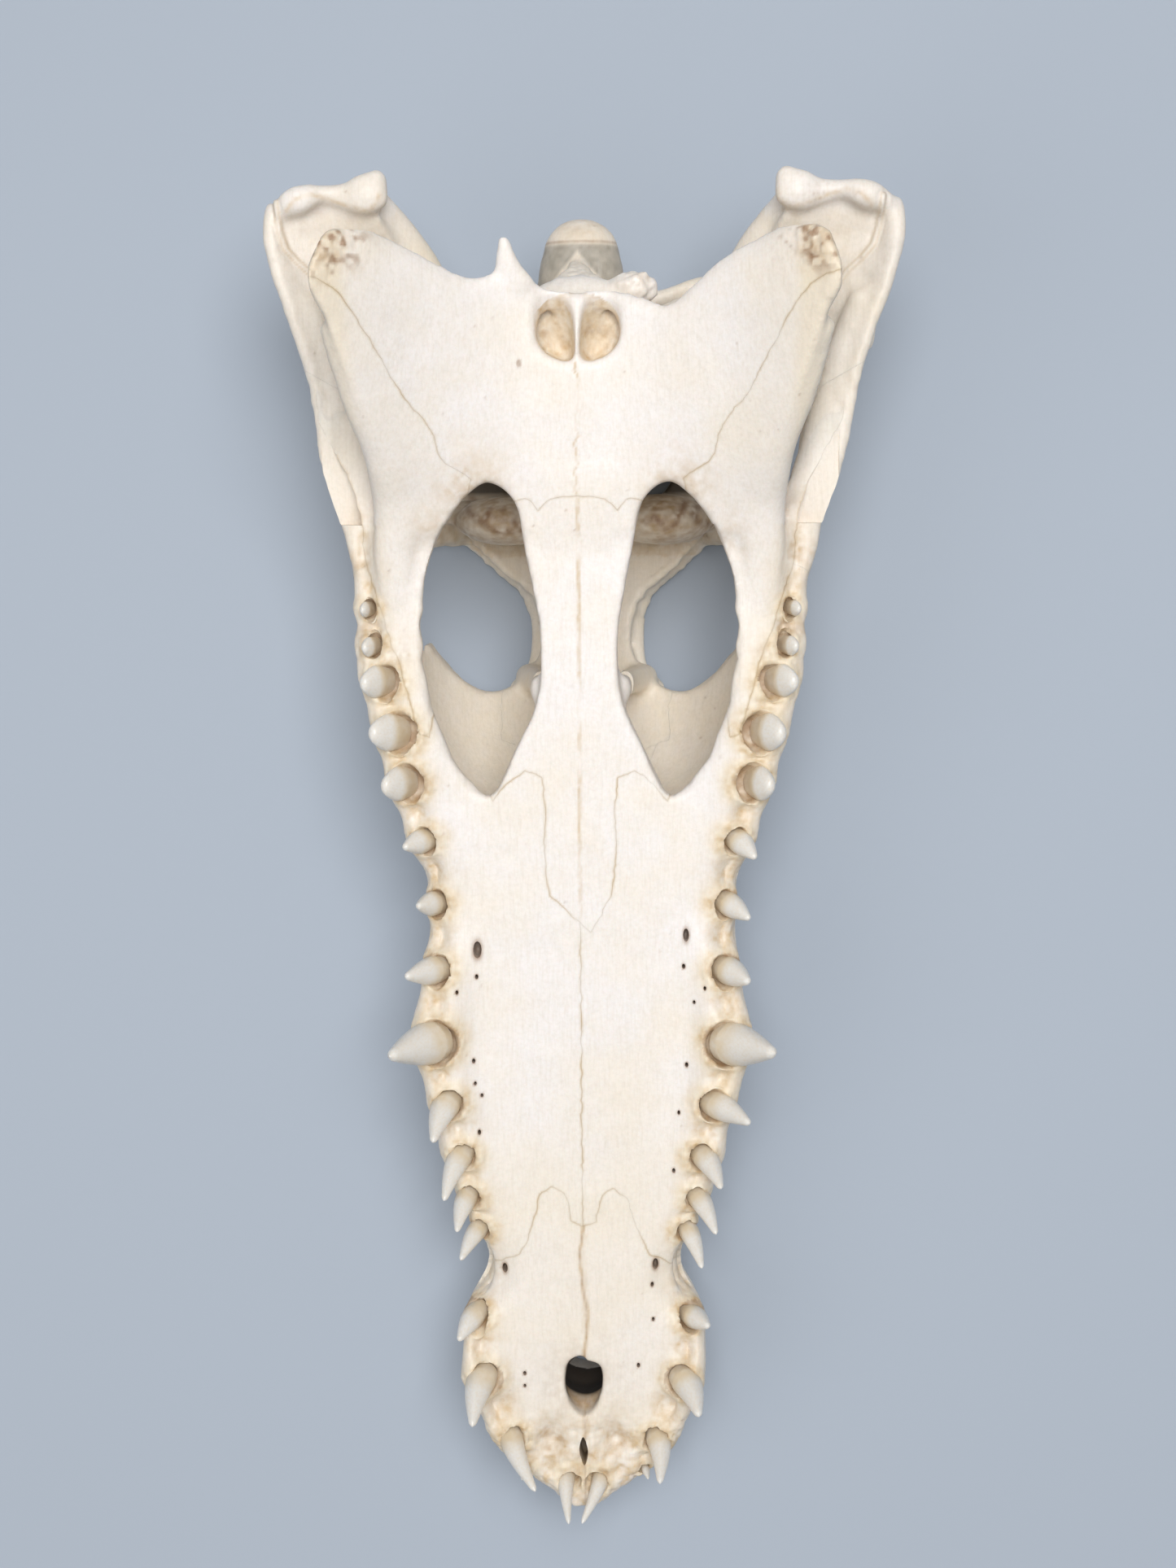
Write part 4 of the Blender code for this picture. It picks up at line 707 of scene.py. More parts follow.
def largest_body(obj):
    """Keeps the object's largest closed surface and drops the rest."""
    edges = np.empty(len(obj.data.edges) * 2, np.int32)
    obj.data.edges.foreach_get("vertices", edges)
    a, b = edges.reshape(-1, 2).T
    label = np.arange(len(obj.data.vertices))
    while True:
        low, high = np.minimum(label[a], label[b]), np.maximum(label[a], label[b])
        apart = low != high
        if not apart.any():
            break
        np.minimum.at(label, high[apart], low[apart])
        while (label[label] != label).any():
            label = label[label]
    counts = np.bincount(label)
    spare = np.nonzero(label != counts.argmax())[0]
    if len(spare):
        bm = bmesh.new()
        bm.from_mesh(obj.data)
        bm.verts.ensure_lookup_table()
        bmesh.ops.delete(bm, geom=[bm.verts[i] for i in spare], context="VERTS")
        bm.to_mesh(obj.data)
        bm.free()
    return obj


def rim_share(u):
    """How far the palate has risen to the gum's height, at a share u of the half width."""
    return eased(ramp(np.abs(u), 0.6, 0.24))


def palate_level(x, y):
    """Height of the snout's palate, with its rim rising to the gum."""
    return through(GUM_HEIGHT, y) * rim_share(x / through(JAW_HALF_WIDTH, y))


def face_ring(y):
    """The outline across the snout and face: palate below, arched roof above."""
    half = through(JAW_HALF_WIDTH, y)
    gum = through(GUM_HEIGHT, y)
    roof = through(ROOF_HEIGHT, y)
    join = gum - GUM_EDGE
    angle = np.linspace(0, math.pi, 30)
    power = 2 / through(FACE_SQUARENESS, y)
    x = half * np.sign(np.cos(angle)) * np.abs(np.cos(angle)) ** power
    z = join + (roof - join) * np.sin(angle) ** power
    u = np.linspace(-1, 1, 24)[1:-1]
    u = np.sign(u) * np.abs(u) ** 0.7
    rounding = ramp(np.abs(u), 0.88, 0.12)
    low = gum * rim_share(u) - GUM_EDGE * (1 - np.sqrt(1 - 0.98 * rounding**2))
    return placed_at(np.concatenate([x, u * half]), y, np.concatenate([z, low]))


def face():
    stations = np.concatenate([[0.5, 2, 4, 7], np.arange(10, FACE_BACK, 3.0), [FACE_BACK]])
    rings = [face_ring(y) for y in stations]
    for back, size in FACE_ROUNDING:
        middle = FACE_MIDDLE + [0, back, 0]
        rings.append(middle + (face_ring(back) - middle) * size)
    return loft("face", rings)


def face_cavity():
    """The room between palate and roof that the fenestrae and orbits open into."""
    rings = []
    angle = np.linspace(0, math.pi, 24)
    base = -PALATE_THICKNESS - 2.5
    for y in CAVITY_PLACES:
        shrink = through(CAVITY_SHARE, y)
        half = (through(JAW_HALF_WIDTH, y) - WALL) * shrink
        top = (through(ROOF_HEIGHT, y) + ROOF_THICKNESS + PALATE_THICKNESS) * shrink - PALATE_THICKNESS
        xs = np.concatenate([half * np.cos(angle), np.linspace(-1, 1, 8) * half * 0.97])
        zs = np.concatenate([base + (top - base) * np.sin(angle), np.full(8, -PALATE_THICKNESS)])
        rings.append(placed_at(xs, y, zs))
    return loft("cavity", rings)


def skull_table():
    rings = []
    c, s = circle(36, 0.4)
    for y in TABLE_PLACES:
        half = through(TABLE_HALF_WIDTH, y)
        thick = through(TABLE_THICKNESS, y) / 2
        level = TABLE_HEIGHT - TABLE_SLOPE * (y - 290)
        dish = (1 - c**2) * ramp(y, 290, 20)
        notch = TABLE_NOTCH * ramp(y, 335, 25) * (1 - c**2)
        rings.append(placed_at(half * c, y - notch, level + dish + thick * s))
    return loft("table", rings)


def plate_level(x, y):
    """Height of the middle of the palate's back plate, low in the middle and rising to the wings."""
    x = np.abs(x)
    middle = through(PLATE_MIDDLE, y)
    outwards = np.clip((x - 12) / 54, 0, 1.2)
    return middle + through(PLATE_RISE, y) * outwards**1.35


def broken_off(x):
    middle, reach, depth = BROKEN_EDGE
    return depth * math.exp(-(((x - middle) / reach) ** 2))


def palate_plate():
    rings = []
    for x in np.linspace(-PLATE_BACK[-1][0], PLATE_BACK[-1][0], 47):
        front = through(PLATE_FRONT, abs(x))
        back = through(PLATE_BACK, abs(x)) - broken_off(x)
        thick = through(PLATE_THICKNESS, abs(x)) / 2
        ys = np.linspace(front, back, 20)
        edge = np.clip(np.minimum(ys - front, back - ys) / thick, 0, 1)
        depth = thick * np.sqrt(np.clip(1 - (1 - edge) ** 2, 0.02, 1))
        mid = plate_level(x, ys) - 2
        rings.append(np.concatenate([placed_at(x, ys, mid + depth), placed_at(x, ys, mid - depth)[::-1]]))
    return loft("plate", rings)


def palatine_bar():
    rings = []
    c, s = circle(24, 0.6)
    for y in np.arange(205, 319, 4.0):
        depth = through(PALATINE_DEPTH, y)
        z = through(PALATINE_TOPS, y) - depth / 2 + depth / 2 * s
        rings.append(placed_at(through(PALATINE_HALF_WIDTH, y) * c, y, z))
    return loft("palatine", rings)


def side_bars(s):
    """The bars and plates of one side, with s as +1 on the right and -1 on the left."""
    def at(points):
        return [(s * x, y, z) for x, y, z in points]

    made = [sheet("plate", at(one), at(other), thick) for one, other, thick in SIDE_PLATES]
    made += [sweep("bar", at(path), wide, high, up) for path, wide, high, up in SIDE_BARS]
    made += [ball("knob", (s * x, y, z), radii) for (x, y, z), radii in SIDE_KNOBS]
    bridge = BRIDGE_START + [BRIDGE_END_RIGHT if s > 0 else BRIDGE_END_LEFT]
    made.append(sweep("bridge", at(bridge), BRIDGE_HALF_WIDTH, BRIDGE_HALF_HEIGHT))
    return made


def braincase():
    rings = []
    c, s = circle(24, 0.8)
    for y in np.arange(CASE_HALF_WIDTH[0][0], CASE_HALF_WIDTH[-1][0] + 1, 4.0):
        low = through(CASE_UNDERSIDE, y)
        z = (low + CASE_TOP) / 2 + (low - CASE_TOP) / 2 * s
        rings.append(placed_at(through(CASE_HALF_WIDTH, y) * c, y, z))
    made = [loft("case", rings)]
    made += [sweep("bar", path, wide, high, up) for path, wide, high, up in MIDDLE_BARS]
    made += [ball("condyle", *row) for row in NECK_KNOBS]
    made.append(ball("backing", *CHOANA_BACKING))
    return made


def nostril_cutters():
    """The hole from the palate's front through the snout to the nostrils, and the start of the airway."""
    c, s = circle(24)
    rings = [placed_at(half * c, (front + back) / 2 + (back - front) / 2 * s, z)
             for z, half, front, back in NOSTRIL]
    made = [loft("nostril", rings), sweep("airway", AIRWAY, AIRWAY_HALF_SIZE, AIRWAY_HALF_SIZE)]
    made.append(prism("incisive", closed_curve(INCISIVE), *INCISIVE_LEVELS))
    return made


def oval(centre_x, centre_y, half_x, half_y):
    c, s = circle(28)
    return list(zip(centre_x + half_x * c, centre_y + half_y * s))


def nostril_rim():
    """The raised lip round the nostrils on the snout's roof, in two overlapping halves."""
    back, level = NOSTRIL_RIM
    across, along = NOSTRIL_RIM_REACH
    wide, high = NOSTRIL_RIM_SIZE
    rings = []
    c, s = circle(10)
    for a in np.linspace(0, 2 * math.pi, 25):
        x, y = math.cos(a), math.sin(a)
        rings.append(placed_at(across * x + x * wide * c, back + along * y + y * wide * c, level + high * s))
    return [loft("rim_a", rings[:14]), loft("rim_b", rings[12:])]


def choana():
    """Two scoops side by side that are deep in front and run out behind."""
    c, s = circle(28, 0.8)
    made = []
    for side in (1, -1):
        rings = []
        for y in np.linspace(CHOANA_DEPTH[0][0], CHOANA_DEPTH[-1][0], 22):
            half = (through(CHOANA_HALF_WIDTH, y) - CHOANA_WALL) / 2
            top = plate_level(0, y) + CHOANA_CLEARANCE
            floor = plate_level(0, y) + 1 - through(CHOANA_DEPTH, y)
            x = CHOANA_MIDDLE + side * (CHOANA_WALL + half * (1 + c))
            rings.append(placed_at(x, y, (top + floor) / 2 + (top - floor) / 2 * s))
        made.append(loft("scoop", rings))
    return made


def both_sides(row):
    (x, y, z), radii = row
    return [ball("hollow", (s * x, y, z), radii) for s in (1, -1)]


def lattice(p, size, seed):
    """Smooth noise from -1 to 1 at each point, with features of about that size."""
    q = p / size
    base = np.floor(q).astype(np.int64)
    f = q - base
    f = f * f * (3 - 2 * f)
    total = np.zeros(len(p))
    for corner in range(8):
        bits = np.array([corner & 1, corner >> 1 & 1, corner >> 2 & 1])
        weight = np.prod(np.where(bits, f, 1 - f), axis=1)
        total += weight * scattered(base + bits, seed)
    return total


def scattered(cells, seed):
    """A number from -1 to 1 that depends only on the cell."""
    h = cells[:, 0] * 73856093 ^ cells[:, 1] * 19349663 ^ cells[:, 2] * 83492791 ^ seed * 2654435761
    h = (h ^ h >> 15) * 2246822519 & 0xFFFFFFFF
    h = (h ^ h >> 13) * 3266489917 & 0xFFFFFFFF
    return ((h ^ h >> 16) & 0xFFFF) / 32767.5 - 1


def pits(p, size, seed):
    """The distance to the nearest of many scattered points, in units of size."""
    q = p / size
    base = np.floor(q).astype(np.int64)
    nearest = np.full(len(p), 9.0)
    for i in (-1, 0, 1):
        for j in (-1, 0, 1):
            for k in (-1, 0, 1):
                cell = base + (i, j, k)
                point = cell + 0.5 + 0.45 * np.stack([scattered(cell, seed + n) for n in (1, 2, 3)], 1)
                nearest = np.minimum(nearest, np.sum((q - point) ** 2, axis=1))
    return np.sqrt(nearest)


def near_line(p, line):
    """The distance in plan from each point to a line through the given points, far where it is not near."""
    found = np.full(len(p), 1e9)
    order = np.argsort(p[:, 1])
    backs = p[order, 1]
    line = np.array(line, float)
    for a, b in zip(line[:-1], line[1:]):
        low, high = np.minimum(a, b) - NEAR_LINE, np.maximum(a, b) + NEAR_LINE
        here = order[np.searchsorted(backs, low[1]):np.searchsorted(backs, high[1])]
        here = here[(p[here, 0] > low[0]) & (p[here, 0] < high[0])]
        q = p[here, :2] - a
        along = b - a
        t = np.clip(q @ along / max(along @ along, 1e-9), 0, 1)
        found[here] = np.minimum(found[here], np.linalg.norm(q - t[:, None] * along, axis=1))
    return found


def wavy(outline, reach, seed, closed=True):
    """The outline broken into short steps that wander as a suture does."""
    p = np.array(outline, float)
    ends = np.roll(p, -1, 0) if closed else p[1:]
    found = []
    for a, b in zip(p, ends):
        length = np.linalg.norm(b - a)
        steps = max(int(length / SUTURE_STEP), 1)
        t = np.linspace(0, 1, steps, endpoint=False)[:, None]
        line = a + (b - a) * t
        side = np.array([b[1] - a[1], a[0] - b[0]]) / max(length, 1e-9)
        places = np.column_stack([line, np.full(len(line), 7.0)])
        drift = lattice(places, 2.6, seed) + 0.7 * lattice(places, 1.1, seed + 5)
        ease = np.minimum(np.minimum(t[:, 0], 1 - t[:, 0]) * length / 3.0, 1)
        found.append(line + side * (drift * ease * reach)[:, None])
    if not closed:
        found.append(p[-1:])
    return [tuple(q) for q in np.concatenate(found)]


def both_lines(p, line):
    """The distances to a line of the right side and to the same line on the left."""
    return [near_line(p, [(s * x, y) for x, y in line]) for s in (-1, 1)]


def soft(away, reach):
    return np.exp(-((away / reach) ** 2))


def distance(p, place, scale=(1, 1, 1)):
    return np.linalg.norm((p - np.array(place)) * scale, axis=1)


def vectors_of(obj, name="co"):
    """The places or the normals of the object's points."""
    p = np.empty(len(obj.data.vertices) * 3, np.float32)
    obj.data.vertices.foreach_get(name, p)
    return p.reshape(-1, 3).astype(float)


def move_to(obj, p):
    obj.data.vertices.foreach_set("co", p.ravel().astype(np.float32))
    obj.data.update()


def sockets():
    """Each socket as (side, tooth number, across, back, height of the gum, radius, tooth row)."""
    found = []
    for sign in (-1, 1):
        for number, row in enumerate(TEETH):
            back, beside, width = row[:3]
            blunt = number >= FIRST_BLUNT
            room = SMALL_SOCKET_ROOM if number >= FIRST_SMALL else SOCKET_ROOM
            radius = width / 2 * (BLUNT_SOCKET if blunt else 1.0) + room
            inward = (BLUNT_INWARD if blunt else SHARP_INWARD) * width
            across, gum = sign * (beside - inward), through(GUM_HEIGHT, back)
            found.append((sign, number, across, back, gum, radius, row))
    return found


def socket_cutters():
    """Tapered pits that the teeth stand in."""
    made = []
    c, s = circle(SOCKET_POINTS)
    for sign, number, x, back, gum, radius, row in sockets():
        out, forward = row[4 if sign < 0 else 5]
        crown = row[3]
        lean = np.array([sign * out, -forward, crown]) / crown
        rings = []
        for depth, share in SOCKET_TAPER:
            centre = np.array([x, back, gum - 1.0]) + lean * depth
            wide = radius * share
            rings.append(placed_at(centre[0] + wide * c, centre[1] + wide * 1.06 * s, centre[2]))
        made.append(loft("socket", rings))
    return made


def foramen_cutters():
    """The small holes of the palate and the slit at the front of the snout."""
    made = [prism("slit", closed_curve(FRONT_SLIT), *SLIT_LEVELS)]
    for x, y, across, along in FORAMINA:
        middle = (x, y, palate_level(x, y) + 0.2)
        made.append(ball("foramen", middle, (across, along, FORAMEN_DEPTH), around=12, rows=8))
    return made


def smoothed(obj, iterations):
    smooth = obj.modifiers.new("smooth", "SMOOTH")
    smooth.factor = 0.5
    smooth.iterations = iterations
    return settled(obj)


def widened(obj):
    p = vectors_of(obj)
    p[:, 0] += WIDER_RIGHT * np.abs(p[:, 0]) * ramp(p[:, 1], WIDER_START, WIDER_RUN)
    move_to(obj, p)


def rough_bone():
    """The whole skull without its teeth, before its fine detail."""
    shell = fused("skull", [face(), skull_table(), palate_plate()] + nostril_rim(), SHELL_VOXEL)
    cutters = [face_cavity()] + nostril_cutters()
    for flip in (list, mirrored):
        cutters.append(prism("fenestra", closed_curve(flip(FENESTRA)), *FENESTRA_LEVELS))
        cutters.append(prism("orbit", closed_curve(flip(ORBIT)), *ORBIT_LEVELS))
        cutters.append(prism("temporal", flip(oval(*TEMPORAL_HOLE)), *TEMPORAL_LEVELS))
    outline = closed_curve(ORBIT_SIDE)
    for s in (1, -1):
        rings = [placed_at(s * x, outline[:, 0], outline[:, 1]) for x in (ORBIT_SIDE_INNER, BESIDE)]
        cutters.append(loft("orbit", rings))
    for cutter in cutters:
        boolean(shell, [cutter])
    inner = [palatine_bar()] + side_bars(1) + side_bars(-1) + braincase()
    inner.append(sweep("spur", SPUR, SPUR_HALF_WIDTH, SPUR_HALF_HEIGHT))
    inner.append(ball("lump", *BROKEN_LUMP))
    whole = fused("skull", [shell] + inner, SHELL_VOXEL)
    for hollow in choana() + both_sides(BACK_HOLLOW) + [ball("cord", *CORD_OPENING)]:
        boolean(whole, [hollow])
    skinned(whole, SHELL_VOXEL)
    smoothed(whole, round(SMOOTH_AREA / SHELL_VOXEL**2))
    return largest_body(whole)


def whole_bone():
    """The whole skull without its teeth, in fine detail, as one body that isn't parted yet."""
    whole = rough_bone()
    boolean(whole, socket_cutters())
    skinned(whole, FINE_VOXEL)
    smoothed(whole, FINE_SMOOTHING)
    widened(whole)
    carve(whole)
    boolean(whole, foramen_cutters())
    return largest_body(whole)


def carve(whole):
    """Pushes the surface in and out for the fine relief of the bone."""
    p, n = vectors_of(whole), vectors_of(whole, "normal")
    push = sum(depth * lattice(p, size, seed) for depth, size, seed in UNEVENNESS)
    push += roof_relief(p, n) + tooth_row_relief(p, n) + flank_relief(p, n) + rear_relief(p, n)
    for line in inner_sutures():
        push -= 0.16 * soft(near_line(p, line), 0.42) * (n[:, 2] > 0.2) * (p[:, 2] > -12)
    p += n * push[:, None]
    move_to(whole, p)


def roof_relief(p, n):
    """The sculpture of the roof: round dents that grow stronger towards the back."""
    roof = ramp(-n[:, 2], 0.15, 0.4) * ramp(-p[:, 2], 22, 10)
    dents = pits(p * (1, 0.75, 1), 4.6, 11)
    strong = through(ROOF_SCULPTURE, p[:, 1])
    return roof * strong * (0.35 * np.clip(dents, 0, 1) - 0.42 * soft(dents, 0.42))


def tooth_row_relief(p, n):
    """Uneven collars round the sockets, hollows between them for the lower teeth, and spongy bone."""
    x, y, z = p.T
    under = ramp(n[:, 2], -0.25, 0.4) * (np.abs(z - through(GUM_HEIGHT, y)) < NEAR_GUM)
    spongy = pits(p, 1.9, 14)
    uneven = 0.6 + 0.7 * lattice(p, 2.4, 15)
    push = np.zeros(len(p))
    for sign, number, across, back, level, radius, row in sockets():
        here = np.nonzero((np.abs(y - back) < 14) & (sign * x > 0))[0]
        r = np.hypot(x[here] - across, y[here] - back) - radius - 1.0
        collar = 0.45 * soft(r, 1.0) * uneven[here]
        sponge = 0.3 * soft(np.maximum(r, 0), 3.2) * (soft(spongy[here], 0.4) - 0.3)
        push[here] = np.maximum(push[here], under[here] * collar) - under[here] * sponge
    for x0, y0, half_x, half_y, depth in hollows():
        push -= under * depth * soft(np.hypot((x - x0) / half_x, (y - y0) / half_y), 0.75)
    front = under * ramp(-y, -34, 8)
    return push + front * (0.4 * lattice(p, 3.6, 16) + 0.22 * lattice(p, 1.5, 17) - 0.4 * soft(spongy, 0.4))


def hollows():
    """Each hollow beside the teeth as (across, back, half width, half length, depth)."""
    found = list(FRONT_HOLLOWS)
    for sign in (-1, 1):
        for first, second in zip(TEETH[:-1], TEETH[1:]):
            room = second[0] - first[0] - (first[2] + second[2]) / 2
            if room > LEAST_ROOM:
                middle = (first[0] + first[2] / 2 + second[0] - second[2] / 2) / 2
                beside = (first[1] + second[1]) / 2 - 0.5
                found.append((sign * beside, middle, 4.6, 0.55 * room, min(3.6, 0.46 * room)))
    for sign in (-1, 1):
        found += [(sign * (x - 1), y, 2.6, 8, 1.9) for x, y in REAR_GROOVE]
    return found


def flank_relief(p, n):
    """The outer wall of the jaw, which swells over the roots of the teeth and is rough."""
    x, y, z = p.T
    flank = (np.abs(x) > 0.5 * through(JAW_HALF_WIDTH, y)) * (y < FACE_BACK)
    flank = flank * np.clip(1.2 - np.abs(n[:, 2]) * 1.6, 0, 1)
    push = flank * (0.22 * lattice(p * (1, 0.5, 1), 3.2, 21) - 0.25 * soft(pits(p, 7.0, 25), 0.2))
    swell = np.max([soft((y - row[0]) / (0.75 * row[2]), 1) for row in TEETH[2:]], axis=0)
    high = soft(np.maximum(through(GUM_HEIGHT, y) - 4 - z, 0), 9)
    return push + flank * high * (0.9 * swell - 0.35)


def rear_relief(p, n):
    """Rough wing tips, the ridge beside the jaw joint, ragged edges and the broken bone at the back."""
    x, y, z = p.T
    side = np.abs(x)
    push = np.zeros(len(p))
    rough = lattice(p, 1.5, 31)
    for tip in WING_TIPS:
        push += soft(distance(p, tip), 5.5) * 0.35 * rough
    cheek = ramp(side, 62, 8) * ramp(y, 300, 20) * ramp(-y, -386, 10)
    push += cheek * 0.22 * lattice(p * (1, 1, 0.6), 2.6, 41)
    for away in both_lines(p, JOINT_RIDGE):
        push += within(z, -26, -4) * (n[:, 2] > 0) * (0.5 * soft(away, 0.6) - 0.3 * soft(away - 1.3, 0.5))
    ragged = (z < -58) * (n[:, 1] < 0.2) * within(y, 268, 300) * within(side, 10, 47)
    push += ragged * 0.55 * lattice(p * (1, 1, 0.4), 2.2, 43)
    broken = soft(distance(p, BROKEN_PLACE, (1, 1, 0.8)), 7.5)
    push += broken * (1.1 * lattice(p, 2.4, 44) + 0.5 * lattice(p, 1.2, 45))
    base = soft(distance(p, NECK_BASE, (0.7, 1.2, 0.5)), 8)
    return push + base * (0.7 * lattice(p * (1.5, 0.8, 1), 1.9, 46))


def inner_sutures():
    """Lines on the palate where bones of one node meet."""
    return [wavy(line, reach, 60 + i, closed=False) for i, (line, reach) in enumerate(INNER_SUTURES)]


def midline():
    """The suture between the maxillae, which wanders a little."""
    return wavy([(0, -1), (0, 60), (0, 120), (0, 180), (0, FACE_END)], 0.35, 97, closed=False)


def palate_outlines():
    """The wandering outlines of the bones that meet on the palate, by the bones' names."""
    return {
        "premaxillae": wavy(FRONT_SUTURE, 0.6, 91),
        "palatines": wavy(PALATINE_SUTURE + mirrored(PALATINE_SUTURE)[1:-1], 0.45, 92),
        "ectopterygoid_left": wavy(mirrored(WING_SUTURE), 0.5, 93),
        "ectopterygoid_right": wavy(WING_SUTURE, 0.5, 94),
    }


def palate_sutures():
    """Every line on the palate where bones meet."""
    rings = [ring + ring[:1] for ring in palate_outlines().values()]
    return rings + [midline()] + inner_sutures()


def nasal_region(grow=0.0):
    rings = []
    front, back = NASAL_HALF_WIDTH[0][0], NASAL_HALF_WIDTH[-1][0]
    for y in np.append(np.arange(front - grow, back, 3.0), back + grow):
        drift = 0.5 * lattice(np.array([[y, 3.0, 5.0]]), 5.0, 71)[0]
        half = through(NASAL_HALF_WIDTH, y) + grow + drift
        deep = through(ROOF_HEIGHT, y) + NASAL_THICKNESS + grow
        rings.append([(half, y, ABOVE_ROOF), (half, y, deep), (-half, y, deep), (-half, y, ABOVE_ROOF)])
    return loft("region", rings)


def quadrate_region(s, grow=0.0):
    """The quadrate's space, whose inner side leans out towards the roof."""
    rings = []
    for level, inner in QUADRATE_INNER:
        p = outlined([(max(x, inner), y) for x, y in QUADRATE_REGION], grow)
        z = level - grow if level == QUADRATE_INNER[0][0] else level
        rings.append(placed_at(s * p[:, 0], p[:, 1], z))
    return loft("region", rings)


def jugal_region(s, grow=0.0):
    """The jugal's space, whose front reaches further forward on its outer side."""
    p = outlined(JUGAL_REGION, grow)
    rings = []
    for across in (JUGAL_INNER - grow, BESIDE):
        forward = JUGAL_LEAN * (across - JUGAL_INNER)
        rings.append(placed_at(s * across, p[:, 0] - forward, p[:, 1]))
    return loft("region", rings)


def flat_region(outline, low, high):
    return partial(prism, "region", outline, low, high)


def regions():
    """Each bone's name with the function that makes the space it takes from what is left."""
    found = [("nasals", nasal_region)]
    for name, outline in palate_outlines().items():
        top = {"premaxillae": ABOVE_ROOF, "palatines": PALATINE_TOP}.get(name, WING_TOP - 1)
        found.append((name, flat_region(outline, top, BELOW_PALATE)))
    found.append(("pterygoids", flat_region(WING_REGION, WING_TOP, BELOW_PALATE)))
    found.append(("frontal", flat_region(wavy(FRONTAL_REGION, 0.7, 95), ABOVE_ROOF, FRONTAL_DEPTH)))
    for side, outline in (("left", mirrored(LACRIMAL_REGION)), ("right", LACRIMAL_REGION)):
        found.append(("lacrimal_" + side, flat_region(wavy(outline, 0.45, 96), ABOVE_ROOF, LACRIMAL_DEPTH)))
    for name, region in (("quadrate_", quadrate_region), ("jugal_", jugal_region)):
        found += [(name + side, partial(region, s)) for side, s in SIDES]
    table, case = (outline + mirrored(outline) for outline in (TABLE_REGION, CASE_REGION))
    found.append(("skull_table", flat_region(table, ABOVE_ROOF, TABLE_UNDERSIDE)))
    found.append(("braincase", flat_region(case, ABOVE_ROOF, WING_TOP + 1)))
    for side, s in SIDES:
        outline = [(x + s * GAP / 2, y) for x, y in midline()] + [(s * BESIDE, FACE_END), (s * BESIDE, -1)]
        found.append(("maxilla_" + side, flat_region(outline, ABOVE_ROOF, BELOW_PALATE)))
    return found


def bones(whole):
    """The whole skull parted into its bones along thin sutures."""
    made = {}
    for name, region in regions():
        piece = linked(name, whole.data.copy())
        boolean(piece, [region()], "INTERSECT")
        made[name] = largest_body(piece)
        boolean(whole, [region(GAP)])
    removed([whole])
    return made


def tooth(sign, number, row):
    """One tooth, curved towards its tip, with a faint keel before and behind and its root in the socket."""
    back, beside, width, crown = row[:4]
    out, forward = row[4 if sign < 0 else 5]
    base = np.array([sign * beside, back, through(GUM_HEIGHT, back) - 1.0])
    tip = base + np.array([sign * out, -forward, crown])
    foot = base - (tip - base) * ROOT_SLANT * ROOT_DEPTH / crown
    bend = np.array([sign * 0.08 * crown, 0, 0])
    blunt = number >= FIRST_BLUNT
    profile = BLUNT_TOOTH if blunt else SHARP_TOOTH
    near_tip = 1 - 0.1 * np.linspace(1, 0.03, 10) ** 1.4
    shares = np.concatenate([np.linspace(0, 0.9, 30, endpoint=False), near_tip])
    middle = 0.3 * (foot + tip) / 2 + 0.7 * base
    curve = np.array([foot * (1 - t) ** 2 + 2 * t * (1 - t) * middle + tip * t**2 for t in shares])
    centres = curve + bend * np.sin(math.pi * shares)[:, None]
    tangents = np.gradient(centres, axis=0)
    tangents /= np.linalg.norm(tangents, axis=1)[:, None]
    across = np.cross(tangents, UPRIGHT)
    across /= np.linalg.norm(across, axis=1)[:, None]
    along = np.cross(across, tangents)
    angle = np.linspace(0, 2 * math.pi, TOOTH_POINTS, endpoint=False)
    keel = (1.0 if blunt else 0.98) * (1 + KEEL_HEIGHT * np.abs(np.sin(angle)) ** KEEL_SHARPNESS)
    thin = BLUNT_THINNESS if blunt else 1.0
    start = ROOT_DEPTH / (crown + ROOT_DEPTH)
    rings = []
    for i, t in enumerate(shares):
        grown = np.clip((t - start) / (1 - start), 0, 1)
        radius = width / 2 * through(profile, grown) * (1 - 0.12 * max(start - t, 0) / start)
        ridge = 1 + 0.008 * np.sin(9 * angle + number) * (1 - grown)
        rings.append(centres[i] + radius * ridge[:, None] * (
            (thin * np.cos(angle))[:, None] * across[i] + (np.sin(angle) * keel)[:, None] * along[i]))
    return loft("tooth", rings), base, tip


def patchy(mottle, gain, loss):
    return np.clip(gain * mottle - loss, 0, 1)


